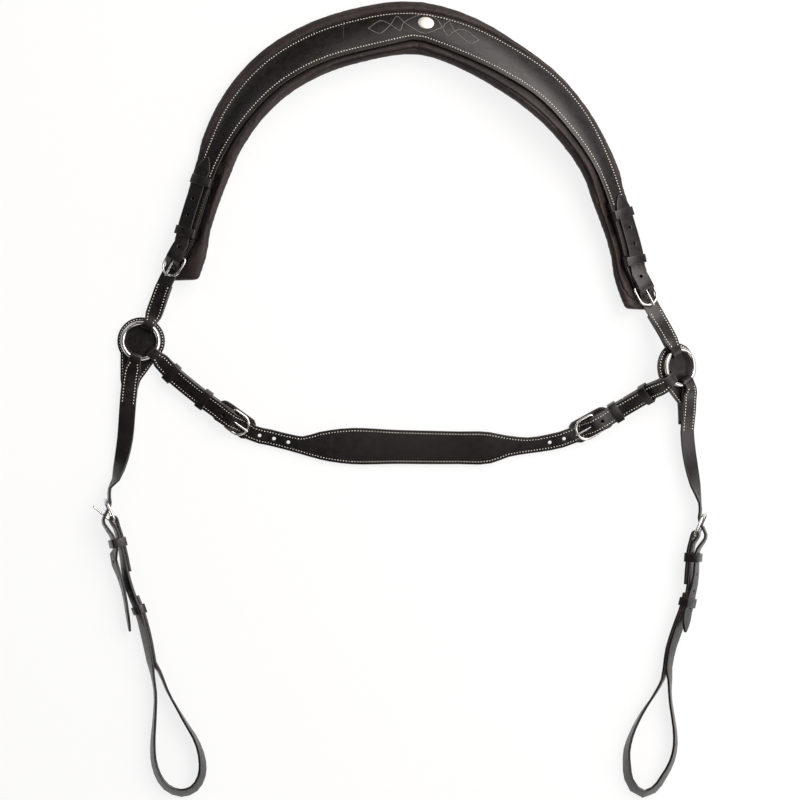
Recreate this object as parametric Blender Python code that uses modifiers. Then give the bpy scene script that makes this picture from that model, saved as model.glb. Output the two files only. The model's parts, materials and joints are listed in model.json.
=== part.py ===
"""Hunting breastplate of dark leather, laid flat: padded breast piece, rings, wither and girth straps.

All sizes are in millimetres and become metres when a mesh is made. +Z is up, the floor is z = 0,
+Y points to the top of the arch. Every strap is laid along a route: a smooth line through chosen
points, with a lean that says how far the strap is turned from lying flat (0) to standing on edge (90).
"""

import math

import bmesh
import bpy
import numpy as np
from mathutils import Matrix, Vector

MM = 0.001

# Straps
STRAP_WIDTH = 19.0
STRAP_THICKNESS = 2.8
BREAST_END_WIDTH = 23.0
CLEARANCE = 0.3
HOLE_DIAMETER = 4.2
HOLE_PITCH = 19.5
WITHER_HOLE_PITCH = 17.0
TIP_LENGTH = 15.0
BREAST_RETURN = 100.0

# Rings and their leather guards
RING_INNER_DIAMETER = 36.0
RING_WIRE = 5.0
GUARD_DIAMETER = 55.0
GUARD_THICKNESS = 3.0
GUARD_TAIL_LENGTH = 50.0
RING_FOLD_WIDTH = 13.0

# Buckles
BUCKLE_WIDTH = 27.5
BUCKLE_LENGTH = 25.0
BUCKLE_WIRE = 3.5
BUCKLE_FRONT_RADIUS = 10.5
PRONG_WIRE = 2.6
PRONG_OVERHANG = 3.0
PRONG_LIFT = 3.0
PRONG_SLOT_WIDTH = 3.8
BILLET_BOW = 12.0

# Keepers
KEEPER_LENGTH = 10.0
KEEPER_THICKNESS = 1.6
KEEPER_SLACK = 3.4
RUNNER_PLAY = 0.3

# Breast piece
BREAST_CROWN = 1.4
PAD_THICKNESS = 11.5
PAD_THINNING = 3.0
PAD_ROLL = 3.2
PAD_GROOVE_WIDTH = 2.0
PAD_GROOVE_DEPTH = 1.2
BADGE_LENGTH = 19.0
BADGE_WIDTH = 15.0
BADGE_HEIGHT = 2.4

# Wither piece and buckle safes
LINING_THICKNESS = 1.8
SAFE_THICKNESS = 2.0
SAFE_WIDTH = 27.0

# Sizes worked out from the ones above
WIRE_REACH = BUCKLE_WIRE / 2 + CLEARANCE
HALF_STRAP = STRAP_WIDTH / 2
LAYER = STRAP_THICKNESS + CLEARANCE
BAR_FOLD = WIRE_REACH + STRAP_THICKNESS / 2
BAR_FOLD_OUTSIDE = WIRE_REACH + STRAP_THICKNESS
BILLET_OVER_BAR = BAR_FOLD_OUTSIDE + CLEARANCE + STRAP_THICKNESS / 2
BILLET_UNDER_FRONT = -(WIRE_REACH + STRAP_THICKNESS / 2)
BILLET_ON_STACK = LAYER * 1.5
RING_RADIUS = (RING_INNER_DIAMETER + RING_WIRE) / 2
RING_FOLD_RISE = RING_WIRE / 2 + CLEARANCE + STRAP_THICKNESS / 2
GUARD_TOP = -(RING_FOLD_RISE + STRAP_THICKNESS / 2 + CLEARANCE)
STACK_TOP = LAYER / 2 + STRAP_THICKNESS / 2
STACK_BOTTOM = -STACK_TOP
PRONG_HEIGHT = BUCKLE_WIRE / 2 + CLEARANCE + PRONG_WIRE / 2
PAD_SEAT_AT_ENDS = STACK_BOTTOM - 2 * CLEARANCE - RUNNER_PLAY - KEEPER_THICKNESS
PAD_SEAT_IN_ARCH = (LAYER - STRAP_THICKNESS) / 2 - CLEARANCE

UP = np.array([0.0, 0.0, 1.0])


def unit(vector):
    return vector / np.linalg.norm(vector)


def side_from_lean(tangent, lean):
    """Direction across a strap that runs along tangent and leans by lean degrees."""
    level = unit(np.cross(UP, tangent))
    steep = np.cross(tangent, level)
    angle = math.radians(lean)
    return math.cos(angle) * level + math.sin(angle) * steep


def lean_from_side(tangent, side):
    level = unit(np.cross(UP, tangent))
    steep = np.cross(tangent, level)
    return math.degrees(math.atan2(side @ steep, side @ level))


def smooth(rows, step, first=0, last=None):
    """Rows of a smooth curve through the given rows, whose first three columns are x, y, z."""
    rows = np.array(rows, float)
    last = len(rows) - 1 if last is None else last
    chord = np.linalg.norm(np.diff(rows[:, :3], axis=0), axis=1)
    time = np.concatenate([[0.0], np.cumsum(chord)])
    slope = np.zeros_like(rows)
    secant = np.diff(rows, axis=0) / chord[:, None]
    slope[0] = secant[0]
    slope[-1] = secant[-1]
    for i in range(1, len(rows) - 1):
        before, after = chord[i - 1], chord[i]
        slope[i] = (secant[i - 1] * after + secant[i] * before) / (before + after)
    result = [rows[first]]
    for i in range(first, last):
        count = max(1, math.ceil(chord[i] / step))
        for k in range(1, count + 1):
            u = k / count
            result.append(
                (2 * u**3 - 3 * u**2 + 1) * rows[i]
                + (u**3 - 2 * u**2 + u) * chord[i] * slope[i]
                + (3 * u**2 - 2 * u**3) * rows[i + 1]
                + (u**3 - u**2) * chord[i] * slope[i + 1]
            )
    return np.array(result)


def tangents(points):
    return np.array([unit(v) for v in np.gradient(points, axis=0)])


class Route:
    """A smooth line in space that carries a tangent, a side and any further columns of its rows."""

    def __init__(self, rows):
        dense = smooth(rows, 2.0)
        self.point = dense[:, :3]
        self.extra = dense[:, 4:]
        self.tangent = tangents(self.point)
        self.side = np.array([side_from_lean(t, lean) for t, lean in zip(self.tangent, dense[:, 3])])
        self.measure()

    def measure(self):
        steps = np.linalg.norm(np.diff(self.point, axis=0), axis=1)
        self.distance = np.concatenate([[0.0], np.cumsum(steps)])
        self.length = self.distance[-1]

    def backwards(self):
        """The same line travelled from its other end, with the same face up."""
        twin = object.__new__(Route)
        twin.point = self.point[::-1]
        twin.extra = self.extra[::-1]
        twin.tangent = -self.tangent[::-1]
        twin.side = -self.side[::-1]
        twin.measure()
        return twin

    def column(self, s, table):
        return np.array([np.interp(s, self.distance, table[:, k]) for k in range(table.shape[1])])

    def frame(self, s):
        """Point, tangent, side and normal at distance s, straight on beyond either end."""
        tangent = unit(self.column(s, self.tangent))
        side = self.column(s, self.side)
        side = unit(side - (side @ tangent) * tangent)
        beyond = min(s, 0.0) + max(s - self.length, 0.0)
        point = self.column(s, self.point) + beyond * tangent
        return point, tangent, side, np.cross(tangent, side)

    def place(self, s, h=0.0, w=0.0):
        point, _, side, normal = self.frame(s)
        return point + h * normal + w * side

    def station(self, s, h, half, w=0.0):
        """One row of a strap: centre point, side and half width."""
        point, _, side, normal = self.frame(s)
        return np.concatenate([point + h * normal + w * side, side, [half]])

    def matrix(self, s, h=0.0):
        """Placement whose X runs back along the route, Y across it and Z off its face."""
        point, tangent, side, normal = self.frame(s)
        columns = np.column_stack([-tangent, -side, normal])
        matrix = Matrix(columns.tolist()).to_4x4()
        matrix.translation = Vector(((point + h * normal) * MM).tolist())
        return matrix

    def nearest(self, x, y):
        """Distance along the route and offset across it of a place seen from above."""
        gap = np.hypot(self.point[:, 0] - x, self.point[:, 1] - y)
        s = self.distance[int(gap.argmin())]
        point, _, side, _ = self.frame(s)
        across = unit(side[:2])
        return s, float(np.array([x - point[0], y - point[1]]) @ across)


def bridge(before, controls, after, step=14.0):
    """Stations between two laid stretches, led through controls of x, y, z, lean and half width."""

    def as_rows(stations, first):
        course = tangents(stations[:, :3])
        return [
            [*stations[i, :3], lean_from_side(course[i], stations[i, 3:6]), stations[i, 6]]
            for i in (first, first + 1)
        ]

    rows = as_rows(np.array(before), len(before) - 2) + [list(row) for row in controls]
    last = None
    if after is not None:
        rows += as_rows(np.array(after), 0)
        last = len(rows) - 2
    curve = smooth(rows, step, 1, last)
    course = tangents(curve[:, :3])
    stations = [
        np.concatenate([row[:3], side_from_lean(t, row[3]), [row[4]]]) for row, t in zip(curve, course)
    ]
    return stations[1:-1] if after is not None else stations[1:]


def distances_along(stations):
    points = np.array(stations)[:, :3]
    return np.concatenate([[0.0], np.cumsum(np.linalg.norm(np.diff(points, axis=0), axis=1))])


def frame_along(stations, distance):
    """Point, tangent, side and normal of a laid strap at a distance from its first station."""
    table = np.array(stations)
    gone = distances_along(stations)
    course = tangents(table[:, :3])
    point = np.array([np.interp(distance, gone, table[:, k]) for k in range(3)])
    tangent = unit(np.array([np.interp(distance, gone, course[:, k]) for k in range(3)]))
    side = unit(np.array([np.interp(distance, gone, table[:, 3 + k]) for k in range(3)]))
    side = unit(side - (side @ tangent) * tangent)
    return point, tangent, side, np.cross(tangent, side)


def pointed(stations, half, length=TIP_LENGTH):
    """Narrow the last stretch of a strap to a rounded point, as billets are cut."""
    table = [row.copy() for row in stations]
    gone = distances_along(table)
    end = gone[-1]
    cut = [(length, 1.0), (length * 0.5, 0.68), (length * 0.15, 0.30), (0.0, 0.10)]
    kept = [row for row, d in zip(table, gone) if d < end - length - 0.5]
    for back, share in cut:
        point, _, side, _ = frame_along(stations, end - back)
        kept.append(np.concatenate([point, side, [half * share]]))
    return kept


# Collections, materials and small mesh tools


def new_collection(name):
    collection = bpy.data.collections.new(name)
    bpy.context.scene.collection.children.link(collection)
    return collection


def material(name, colour, roughness, metallic=0.0):
    surface = bpy.data.materials.new(name)
    surface.use_nodes = True
    shader = surface.node_tree.nodes["Principled BSDF"]
    shader.inputs["Base Color"].default_value = (*colour, 1.0)
    shader.inputs["Roughness"].default_value = roughness
    shader.inputs["Metallic"].default_value = metallic
    surface.diffuse_color = (*colour, 1.0)
    return surface


def add_object(name, mesh, surface, collection):
    item = bpy.data.objects.new(name, mesh)
    item.data.materials.append(surface)
    collection.objects.link(item)
    return item


def grid_mesh(name, rings, closed=False):
    """Faces over rows of points of equal number; closed joins each row's ends."""
    shape = bmesh.new()
    rows = [[shape.verts.new((np.array(p) * MM).tolist()) for p in ring] for ring in rings]
    count = len(rows[0])
    for near, far in zip(rows, rows[1:]):
        for j in range(count if closed else count - 1):
            k = (j + 1) % count
            shape.faces.new((near[j], near[k], far[k], far[j]))
    mesh = bpy.data.meshes.new(name)
    shape.to_mesh(mesh)
    shape.free()
    return mesh


def solidify(item, thickness, offset=0.0):
    wall = item.modifiers.new("thickness", "SOLIDIFY")
    wall.thickness = thickness * MM
    wall.offset = offset
    return wall


def strap(name, stations, thickness, surface, collection, holes=(), crown=0.0, columns=1, pivot=None):
    """A flat strap through its stations, punched by any cutters; pivot is where its origin lies."""
    pivot = np.zeros(3) if pivot is None else pivot
    rings = []
    for row in stations:
        point, side, half = row[:3], row[3:6], row[6]
        rings.append([point + side * half * (2 * j / columns - 1) for j in range(columns + 1)])
    if crown:
        course = tangents(np.array(stations)[:, :3])
        for ring, row, tangent in zip(rings, stations, course):
            normal = unit(np.cross(tangent, row[3:6]))
            for j in range(columns + 1):
                share = 1 - (2 * j / columns - 1) ** 2
                ring[j] = ring[j] + normal * crown * share * min(1.0, row[7])
    mesh = grid_mesh(name, [[p - pivot for p in ring] for ring in rings])
    item = add_object(name, mesh, surface, collection)
    item.location = (pivot * MM).tolist()
    solidify(item, thickness)
    for cutter in holes:
        cut = item.modifiers.new("hole", "BOOLEAN")
        cut.operation = "DIFFERENCE"
        cut.object = cutter
    return item


def punch(name, frames, collection, depth=9.0):
    """One cutter of round or slotted punches, each given as (frame, length, width)."""
    shape = bmesh.new()
    for (point, tangent, side, normal), length, width in frames:
        outline = []
        corner_count = 6
        for end in (0, 1):
            for k in range(corner_count):
                turn = math.pi * (k + 0.5) / corner_count - math.pi / 2 + math.pi * end
                shift = (length - width) / 2 * (1 if end == 0 else -1)
                outline.append((shift + width / 2 * math.cos(turn), width / 2 * math.sin(turn)))
        loops = []
        for level in (-depth / 2, depth / 2):
            loops.append(
                [
                    shape.verts.new(((point + a * tangent + b * side + level * normal) * MM).tolist())
                    for a, b in outline
                ]
            )
        low, high = loops
        shape.faces.new(low[::-1])
        shape.faces.new(high)
        for j in range(len(outline)):
            k = (j + 1) % len(outline)
            shape.faces.new((low[j], low[k], high[k], high[j]))
    mesh = bpy.data.meshes.new(name)
    shape.to_mesh(mesh)
    shape.free()
    cutter = bpy.data.objects.new(name, mesh)
    cutter.hide_render = True
    cutter.display_type = "WIRE"
    collection.objects.link(cutter)
    return cutter


def wire(name, points, diameter, placement, surface, collection, closed=False):
    """A round wire through local points, placed by a matrix."""
    curve = bpy.data.curves.new(name, "CURVE")
    curve.dimensions = "3D"
    curve.bevel_depth = diameter / 2 * MM
    curve.bevel_resolution = 2
    curve.use_fill_caps = not closed
    spline = curve.splines.new("POLY")
    spline.points.add(len(points) - 1)
    for target, point in zip(spline.points, points):
        target.co = (*[value * MM for value in point], 1.0)
    spline.use_cyclic_u = closed
    item = bpy.data.objects.new(name, curve)
    item.matrix_world = placement
    curve.materials.append(surface)
    collection.objects.link(item)
    return item


# Sub-parts


class Junction:
    """A ring with three straps round it; tilted about the Y axis where it doesn't lie flat."""

    def __init__(self, name, x, y, tilt, height):
        self.name = name
        angle = math.radians(tilt)
        self.right = np.array([math.cos(angle), 0.0, -math.sin(angle)])
        self.ahead = np.array([0.0, 1.0, 0.0])
        self.normal = np.cross(self.right, self.ahead)
        self.centre = np.array([x, y, height])

    def direction(self, bearing):
        angle = math.radians(bearing)
        return math.cos(angle) * self.right + math.sin(angle) * self.ahead

    def row(self, bearing, radius, height=0.0, course=None):
        """A route's row in the ring's plane, with the lean that keeps the strap in that plane."""
        travel = self.direction(bearing if course is None else course)
        side = np.cross(self.normal, travel)
        point = self.centre + radius * self.direction(bearing) + height * self.normal
        return [*point, lean_from_side(travel, side)]

    def matrix(self, height=0.0):
        columns = np.column_stack([self.right, self.ahead, self.normal])
        matrix = Matrix(columns.tolist()).to_4x4()
        matrix.translation = Vector(((self.centre + height * self.normal) * MM).tolist())
        return matrix

    def local(self, point):
        offset = point - self.centre
        return offset @ self.right, offset @ self.ahead


def make_ring(junction, surface, collection):
    bpy.ops.mesh.primitive_torus_add(
        major_segments=44,
        minor_segments=10,
        major_radius=RING_RADIUS * MM,
        minor_radius=RING_WIRE / 2 * MM,
    )
    ring = bpy.context.object
    ring.name = "ring_" + junction.name
    ring.matrix_world = junction.matrix()
    ring.data.materials.append(surface)
    for owner in list(ring.users_collection):
        owner.objects.unlink(ring)
    collection.objects.link(ring)
    return ring


def make_guard(junction, girth_route, surface, collection):
    """Leather disc behind the ring, drawn out like a light bulb to a tail under the girth strap."""
    end_x, end_y = junction.local(girth_route.place(GUARD_TAIL_LENGTH))
    near_x, near_y = junction.local(girth_route.place(GUARD_TAIL_LENGTH - 8.0))
    radius = GUARD_DIAMETER / 2
    course = math.atan2(end_y - near_y, end_x - near_x)
    bearing = math.atan2(end_y, end_x)
    shoulder = math.radians(48)
    arc_count = 24
    outline = []
    for k in range(arc_count + 1):
        turn = bearing + shoulder + (2 * math.pi - 2 * shoulder) * k / arc_count
        outline.append((radius * math.cos(turn), radius * math.sin(turn)))

    def tail_point(back, half):
        return (
            end_x - back * math.cos(course) - half * math.sin(course),
            end_y - back * math.sin(course) + half * math.cos(course),
        )

    tail = [(24.0, 1.22), (12.0, 0.94), (0.0, 0.74)]
    outline += [tail_point(back, -HALF_STRAP * share) for back, share in tail]
    outline += [tail_point(back, HALF_STRAP * share) for back, share in reversed(tail)]
    curve = bpy.data.curves.new("ring_guard_" + junction.name, "CURVE")
    curve.dimensions = "2D"
    curve.fill_mode = "BOTH"
    curve.extrude = GUARD_THICKNESS / 2 * MM
    spline = curve.splines.new("POLY")
    spline.points.add(len(outline) - 1)
    for target, (x, y) in zip(spline.points, outline):
        target.co = (x * MM, y * MM, 0.0, 1.0)
    spline.use_cyclic_u = True
    item = bpy.data.objects.new("ring_guard_" + junction.name, curve)
    item.matrix_world = junction.matrix(GUARD_TOP - GUARD_THICKNESS / 2)
    curve.materials.append(surface)
    collection.objects.link(item)
    return item


def fold_round_ring(route, return_length, half):
    """Stations from the return end under the strap, round the ring's wire and out on top."""
    narrow = RING_FOLD_WIDTH / 2
    bore = RING_INNER_DIAMETER / 2
    recess = bore - math.sqrt(bore**2 - narrow**2) + CLEARANCE / 2
    merge = 15.0

    def level(s):
        u = min(max(s / merge, 0.0), 1.0)
        return RING_FOLD_RISE + (LAYER / 2 - RING_FOLD_RISE) * (3 * u * u - 2 * u**3)

    def width(s):
        u = min(max((s - 1.5) / 12.5, 0.0), 1.0)
        return narrow + (half - narrow) * (3 * u * u - 2 * u**3)

    near = [0.0, 4.0, 8.0, 12.0, 16.0, 21.0]
    under = list(near)
    s = under[-1] + 11.0
    while s < return_length - 4.0:
        under.append(s)
        s += 11.0
    under.append(return_length)
    stations = [route.station(s, -level(s), width(s)) for s in reversed(under)]
    turns = 6
    for k in range(turns + 1):
        turn = -math.pi / 2 - math.pi * k / turns
        back = RING_FOLD_RISE * math.cos(turn) - recess
        stations.append(route.station(back, RING_FOLD_RISE * math.sin(turn), narrow))
    stations += [route.station(s, level(s), width(s)) for s in near]
    return stations


def fold_round_bar(route, upper, lower, half):
    """Stations along the upper layer to the bar, round it, and back along the lower layer."""
    merge = 12.0

    def level(s):
        u = min(max(s / merge, 0.0), 1.0)
        return BAR_FOLD + (LAYER / 2 - BAR_FOLD) * (3 * u * u - 2 * u**3)

    def width(s):
        u = min(max((s - 6.0) / 16.0, 0.0), 1.0)
        return HALF_STRAP + (half - HALF_STRAP) * (3 * u * u - 2 * u**3)

    near = [0.0, 3.0, 6.0, 9.0, 12.0, 17.0, 22.0]

    def run(length):
        places = [s for s in near if s < length - 2.0]
        s = near[-1] + 11.0
        while s < length - 4.0:
            places.append(s)
            s += 11.0
        return places + [length]

    stations = [route.station(s, level(s), width(s)) for s in reversed(run(upper))]
    turns = 7
    for k in range(1, turns):
        turn = math.pi / 2 + math.pi * k / turns
        stations.append(route.station(BAR_FOLD * math.cos(turn), BAR_FOLD * math.sin(turn), HALF_STRAP))
    stations += [route.station(s, -level(s), width(s)) for s in run(lower)]
    return stations


def bar_slot(route, name, collection):
    """Cutter of the slot in a fold, through which the prong turns."""
    point, tangent, side, normal = route.frame(0.0)
    back = BAR_FOLD_OUTSIDE + 3.0
    frame = (point + (back - BAR_FOLD_OUTSIDE - 1.5) / 2 * tangent, tangent, side, normal)
    return punch(name, [(frame, back + BAR_FOLD_OUTSIDE + 1.5, PRONG_SLOT_WIDTH)], collection, 16.0)


def make_buckle(name, route, surface, collection):
    """Wire frame with a straight bar at its local origin and a rounded front towards +X."""
    half = (BUCKLE_WIDTH - BUCKLE_WIRE) / 2
    corner = 3.0
    outline = []
    for k in range(3):
        turn = math.pi + math.pi / 2 * k / 2
        outline.append((corner + corner * math.cos(turn), corner - half + corner * math.sin(turn)))
    front = BUCKLE_FRONT_RADIUS
    for k in range(6):
        turn = -math.pi / 2 + math.pi / 2 * k / 5
        outline.append(
            (BUCKLE_LENGTH - front + front * math.cos(turn), front - half + front * math.sin(turn))
        )
    outline += [(x, -y) for x, y in reversed(outline)]
    points = [(x, y, 0.0) for x, y in outline]
    return wire(name, points, BUCKLE_WIRE, route.matrix(0.0), surface, collection, closed=True)


def make_prong(name, route, lift, surface, collection):
    """Prong hooked round the bar, its shaft lying over the frame's front or lifted off it."""
    hook = PRONG_HEIGHT
    points = []
    hook_count = 8
    for k in range(hook_count + 1):
        turn = math.radians(-40 - 230 * k / hook_count)
        points.append((hook * math.cos(turn), 0.0, hook * math.sin(turn)))
    points[-1] = (0.0, 0.0, hook)
    reach = BUCKLE_LENGTH + PRONG_OVERHANG
    points += [
        (4.0, 0.0, hook),
        (BUCKLE_LENGTH - 4.0, 0.0, hook),
        (BUCKLE_LENGTH, 0.0, hook),
        (reach, 0.0, hook - 0.5),
    ]
    placement = route.matrix(0.0) @ Matrix.Rotation(-math.radians(lift), 4, "Y")
    return wire(name, points, PRONG_WIRE, placement, surface, collection)


def prong_slot(stations, route, lift, first, last):
    """Where the prong's shaft crosses a laid billet: distance along it and the slot's length."""
    point, tangent, side, normal = route.frame(0.0)
    angle = math.radians(lift)
    ahead = -tangent
    shaft = math.cos(angle) * ahead + math.sin(angle) * normal
    start = point + PRONG_HEIGHT * (math.cos(angle) * normal - math.sin(angle) * ahead)
    best = None
    for k in range(400):
        distance = first + (last - first) * k / 399
        centre, course, _, face = frame_along(stations, distance)
        offset = centre - start
        along = offset @ shaft
        if along < 1.0:
            continue
        gap = np.linalg.norm(offset - along * shaft - (offset @ side) * side)
        if best is None or gap < best[0]:
            best = (gap, distance, abs(shaft @ face), along)
    _, distance, sine, along = best
    cosine = math.sqrt(1 - sine * sine)
    open_length = 2 * (PRONG_WIRE / 2 + STRAP_THICKNESS / 2 * cosine) / sine + 2 * CLEARANCE
    return distance, open_length + 2 * along * math.radians(PRONG_LIFT) / sine


def laid(route, profile, half):
    """Stations on a route for (distance, height) pairs, in their order."""
    return [route.station(s, h, half) for s, h in profile]


def even(first, last, step):
    """Distances from first to last in equal steps of about step."""
    count = max(1, round(abs(last - first) / step))
    return [first + (last - first) * k / count for k in range(count + 1)]


def drift(s):
    """How far a breast billet lies towards the outer edge of the leather under it."""
    u = min(max((s - 14.0) / 20.0, 0.0), 1.0)
    return 3.2 * (3 * u * u - 2 * u**3)


def crown_share(s, length):
    """The breast leather is flat under the billets and crowned in the arch."""
    return min(max((min(s, length - s) - 122.0) / 45.0, 0.0), 1.0)


def billet_holes(stations, lead, entry, route, lift, pitch, count):
    """The prong's slot and the plain holes before and after it."""
    first = distances_along(lead + entry[:1])[-1] if lead else 0.0
    last = distances_along(lead + entry)[-1]
    distance, slot = prong_slot(stations, route, lift, first, last)
    holes = [(frame_along(stations, distance), slot, HOLE_DIAMETER)]
    before, after = count
    for k in [*range(-before, 0), *range(1, after + 1)]:
        holes.append((frame_along(stations, distance + k * pitch), HOLE_DIAMETER, HOLE_DIAMETER))
    return holes


def prong_holes(lead, entry, run, route, lift, pitch, before):
    """Holes of a billet that ends in a tip: as many after the prong as there is room for."""
    stations = lead + entry + run
    last = distances_along(lead + entry)[-1]
    distance, _ = prong_slot(stations, route, lift, distances_along(lead + entry[:1])[-1], last)
    room = distances_along(stations)[-1] - TIP_LENGTH - 6.0 - distance
    count = (before, int(room // pitch))
    return billet_holes(stations, lead, entry, route, lift, pitch, count)


def snug_profile():
    """Billet pressed over the bar's fold and bent down under the frame's front, as (s, h)."""
    drop = BILLET_OVER_BAR - BILLET_UNDER_FRONT
    bend_start, bend_end = 5.0, BUCKLE_LENGTH - 7.0
    rows = [(14.0, BILLET_ON_STACK), (9.0, BILLET_ON_STACK + 0.75 * (BILLET_OVER_BAR - BILLET_ON_STACK))]
    rows += [(4.0, BILLET_OVER_BAR), (0.0, BILLET_OVER_BAR)]
    for k in range(7):
        u = k / 6
        rows.append(
            (-(bend_start + (bend_end - bend_start) * u), BILLET_OVER_BAR - drop * (3 * u * u - 2 * u**3))
        )
    rows += [(-BUCKLE_LENGTH, BILLET_UNDER_FRONT), (-BUCKLE_LENGTH - 6.0, BILLET_UNDER_FRONT)]
    return rows


def bowed_profile():
    """Billet that bows away from the bar and crosses the frame on a slant, as (s, h)."""
    return [
        (34.0, BILLET_ON_STACK + KEEPER_SLACK),
        (20.0, BILLET_ON_STACK + KEEPER_SLACK),
        (16.0, BILLET_ON_STACK + KEEPER_SLACK + 0.6),
        (11.0, BILLET_ON_STACK + KEEPER_SLACK + 2.0),
        (5.0, BILLET_BOW - 0.8),
        (0.0, BILLET_BOW),
        (-4.5, BILLET_BOW - 1.2),
        (-8.0, BILLET_BOW - 4.6),
        (-12.0, BILLET_BOW - 9.2),
        (-16.0, -1.7),
        (-20.0, -4.0),
        (-BUCKLE_LENGTH, -5.2),
        (-BUCKLE_LENGTH - 5.0, -7.2),
        (-BUCKLE_LENGTH - 10.0, -10.0),
    ]


def make_keeper(name, route, s, reach, levels, surface, collection, play=0.0):
    """Closed leather band round a stack; reach is its side limits and levels its low and high faces."""
    left, right = reach[0] - CLEARANCE - play, reach[1] + CLEARANCE + play
    low, high = levels[0] - CLEARANCE - play, levels[1] + CLEARANCE + play
    corner = 2 * CLEARANCE
    centres = [
        (right - corner, low + corner, -90),
        (right - corner, high - corner, 0),
        (left + corner, high - corner, 90),
        (left + corner, low + corner, 180),
    ]
    outline = []
    for w, h, start in centres:
        for k in range(3):
            turn = math.radians(start + 45 * k)
            outline.append((w + corner * math.cos(turn), h + corner * math.sin(turn)))
    rings = []
    for shift in (-KEEPER_LENGTH / 2, KEEPER_LENGTH / 2):
        rings.append([route.place(s + shift, h, w) for w, h in outline])
    mesh = grid_mesh(name, [[p - route.place(s) for p in ring] for ring in rings], closed=True)
    item = add_object(name, mesh, surface, collection)
    item.location = (route.place(s) * MM).tolist()
    solidify(item, KEEPER_THICKNESS, 1.0)
    return item


def pad_section(inner, outer, sunk, pressed=0.0):
    """Outline of the pad across its length: seat, groove, rolled edges and soft underside.

    Each side is given as the leather's edge and the pad's edge. Where the pad is sunk, under the
    buckled ends, its seat is lower and wide enough for the keepers. Pressed flattens the outer roll.
    """
    seat = PAD_SEAT_IN_ARCH + (PAD_SEAT_AT_ENDS - PAD_SEAT_IN_ARCH) * sunk
    thickness = PAD_THICKNESS - PAD_THINNING * sunk
    spread = CLEARANCE + (KEEPER_THICKNESS + RUNNER_PLAY) * sunk

    def flank(side, sign, flat):
        start = side[0] + spread * sign
        groove = PAD_GROOVE_WIDTH * sign
        room = side[1] - start - groove
        rise = seat + PAD_ROLL * (1 - flat) - CLEARANCE * flat
        return [
            (start, seat),
            (start + groove * 0.6, seat - PAD_GROOVE_DEPTH),
            (start + groove + 0.10 * room, rise - 1.4 * (1 - flat)),
            (start + groove + 0.42 * room, rise),
            (start + groove + 0.80 * room, rise - 1.6),
            (start + groove + room, seat - 0.38 * thickness),
            (start + groove + 0.86 * room, seat - 0.80 * thickness),
            (start + groove + 0.45 * room, seat - thickness),
        ]

    right = flank(outer, 1, pressed)
    left = flank(inner, -1, 0.0)
    middle = (left[0][0] + right[0][0]) / 2
    return right + [(middle, seat - thickness)] + left[::-1] + [(middle, seat)]


def edge_height(lean):
    """Height of a strap's centre that rests on its edge."""
    angle = math.radians(lean)
    return HALF_STRAP * abs(math.sin(angle)) + STRAP_THICKNESS / 2 * abs(math.cos(angle)) + 0.2


def floor_height(section, lean):
    """Height of a route over the floor that sets the lowest point of a leaning section on it."""
    angle = math.radians(lean)
    return max(-(h * math.cos(angle) + w * math.sin(angle)) for w, h in section)


def pad_sinking(s, length):
    """How far the pad is sunk: not at all in the arch, fully beneath the buckled ends."""
    end = min(s, length - s)
    u = min(max((end - BREAST_RETURN - 4.0) / 34.0, 0.0), 1.0)
    return 1 - (3 * u * u - 2 * u**3)


def make_pad(route, surface, collection):
    """Pad lofted along the breast piece; past each buckle it is cut on a slant and pressed flat."""
    half = BREAST_END_WIDTH / 2

    def slant(s, left, right, skew, pressed, mirrored):
        edges = (-half, left), (min(half, right - 8.0), right)
        if mirrored:
            return (route.length - s, *edges, -skew, pressed)
        return (s, *edges, skew, pressed)

    rows = [
        slant(-24.0, -32.0, 2.5, 0.55, 1.0, False),
        slant(-21.5, -33.0, 3.5, 0.55, 1.0, False),
        slant(-12.0, -31.5, 9.0, 0.48, 1.0, False),
        slant(2.0, -29.5, 15.0, 0.32, 0.8, False),
        slant(18.0, -26.5, 20.0, 0.12, 0.2, False),
    ]
    for s in even(36.0, route.length - 36.0, 19.0):
        inner, outer, roll_in, roll_out = route.column(s, route.extra)
        rows.append((s, (-inner, -inner - roll_in), (outer, outer + roll_out), 0.0, 0.0))
    rows += [
        slant(18.0, -24.5, 20.0, 0.10, 0.2, True),
        slant(2.0, -26.0, 15.0, 0.28, 0.8, True),
        slant(-12.0, -27.5, 9.0, 0.44, 1.0, True),
        slant(-23.0, -28.5, 4.5, 0.55, 1.0, True),
        slant(-25.5, -27.5, 3.5, 0.55, 1.0, True),
    ]
    rings = []
    for i, (s, inner, outer, skew, pressed) in enumerate(rows):
        section = pad_section(inner, outer, pad_sinking(s, route.length), pressed)
        centre = (inner[1] + outer[1]) / 2
        tuck = 0.93 if i in (0, len(rows) - 1) else 1.0
        middle = PAD_SEAT_AT_ENDS - PAD_THICKNESS / 2
        ring = []
        for w, h in section:
            across = centre + (w - centre) * tuck
            height = middle + (h - middle) * tuck
            ring.append(route.place(s - skew * (across - centre), height, across))
        rings.append([np.array([p[0], p[1], max(p[2], 0.0)]) for p in ring])
    mesh = grid_mesh("breast_pad", rings, closed=True)
    shape = bmesh.new()
    shape.from_mesh(mesh)
    bmesh.ops.holes_fill(shape, edges=shape.edges)
    bmesh.ops.recalc_face_normals(shape, faces=shape.faces)
    shape.to_mesh(mesh)
    shape.free()
    return add_object("breast_pad", mesh, surface, collection)


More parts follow.
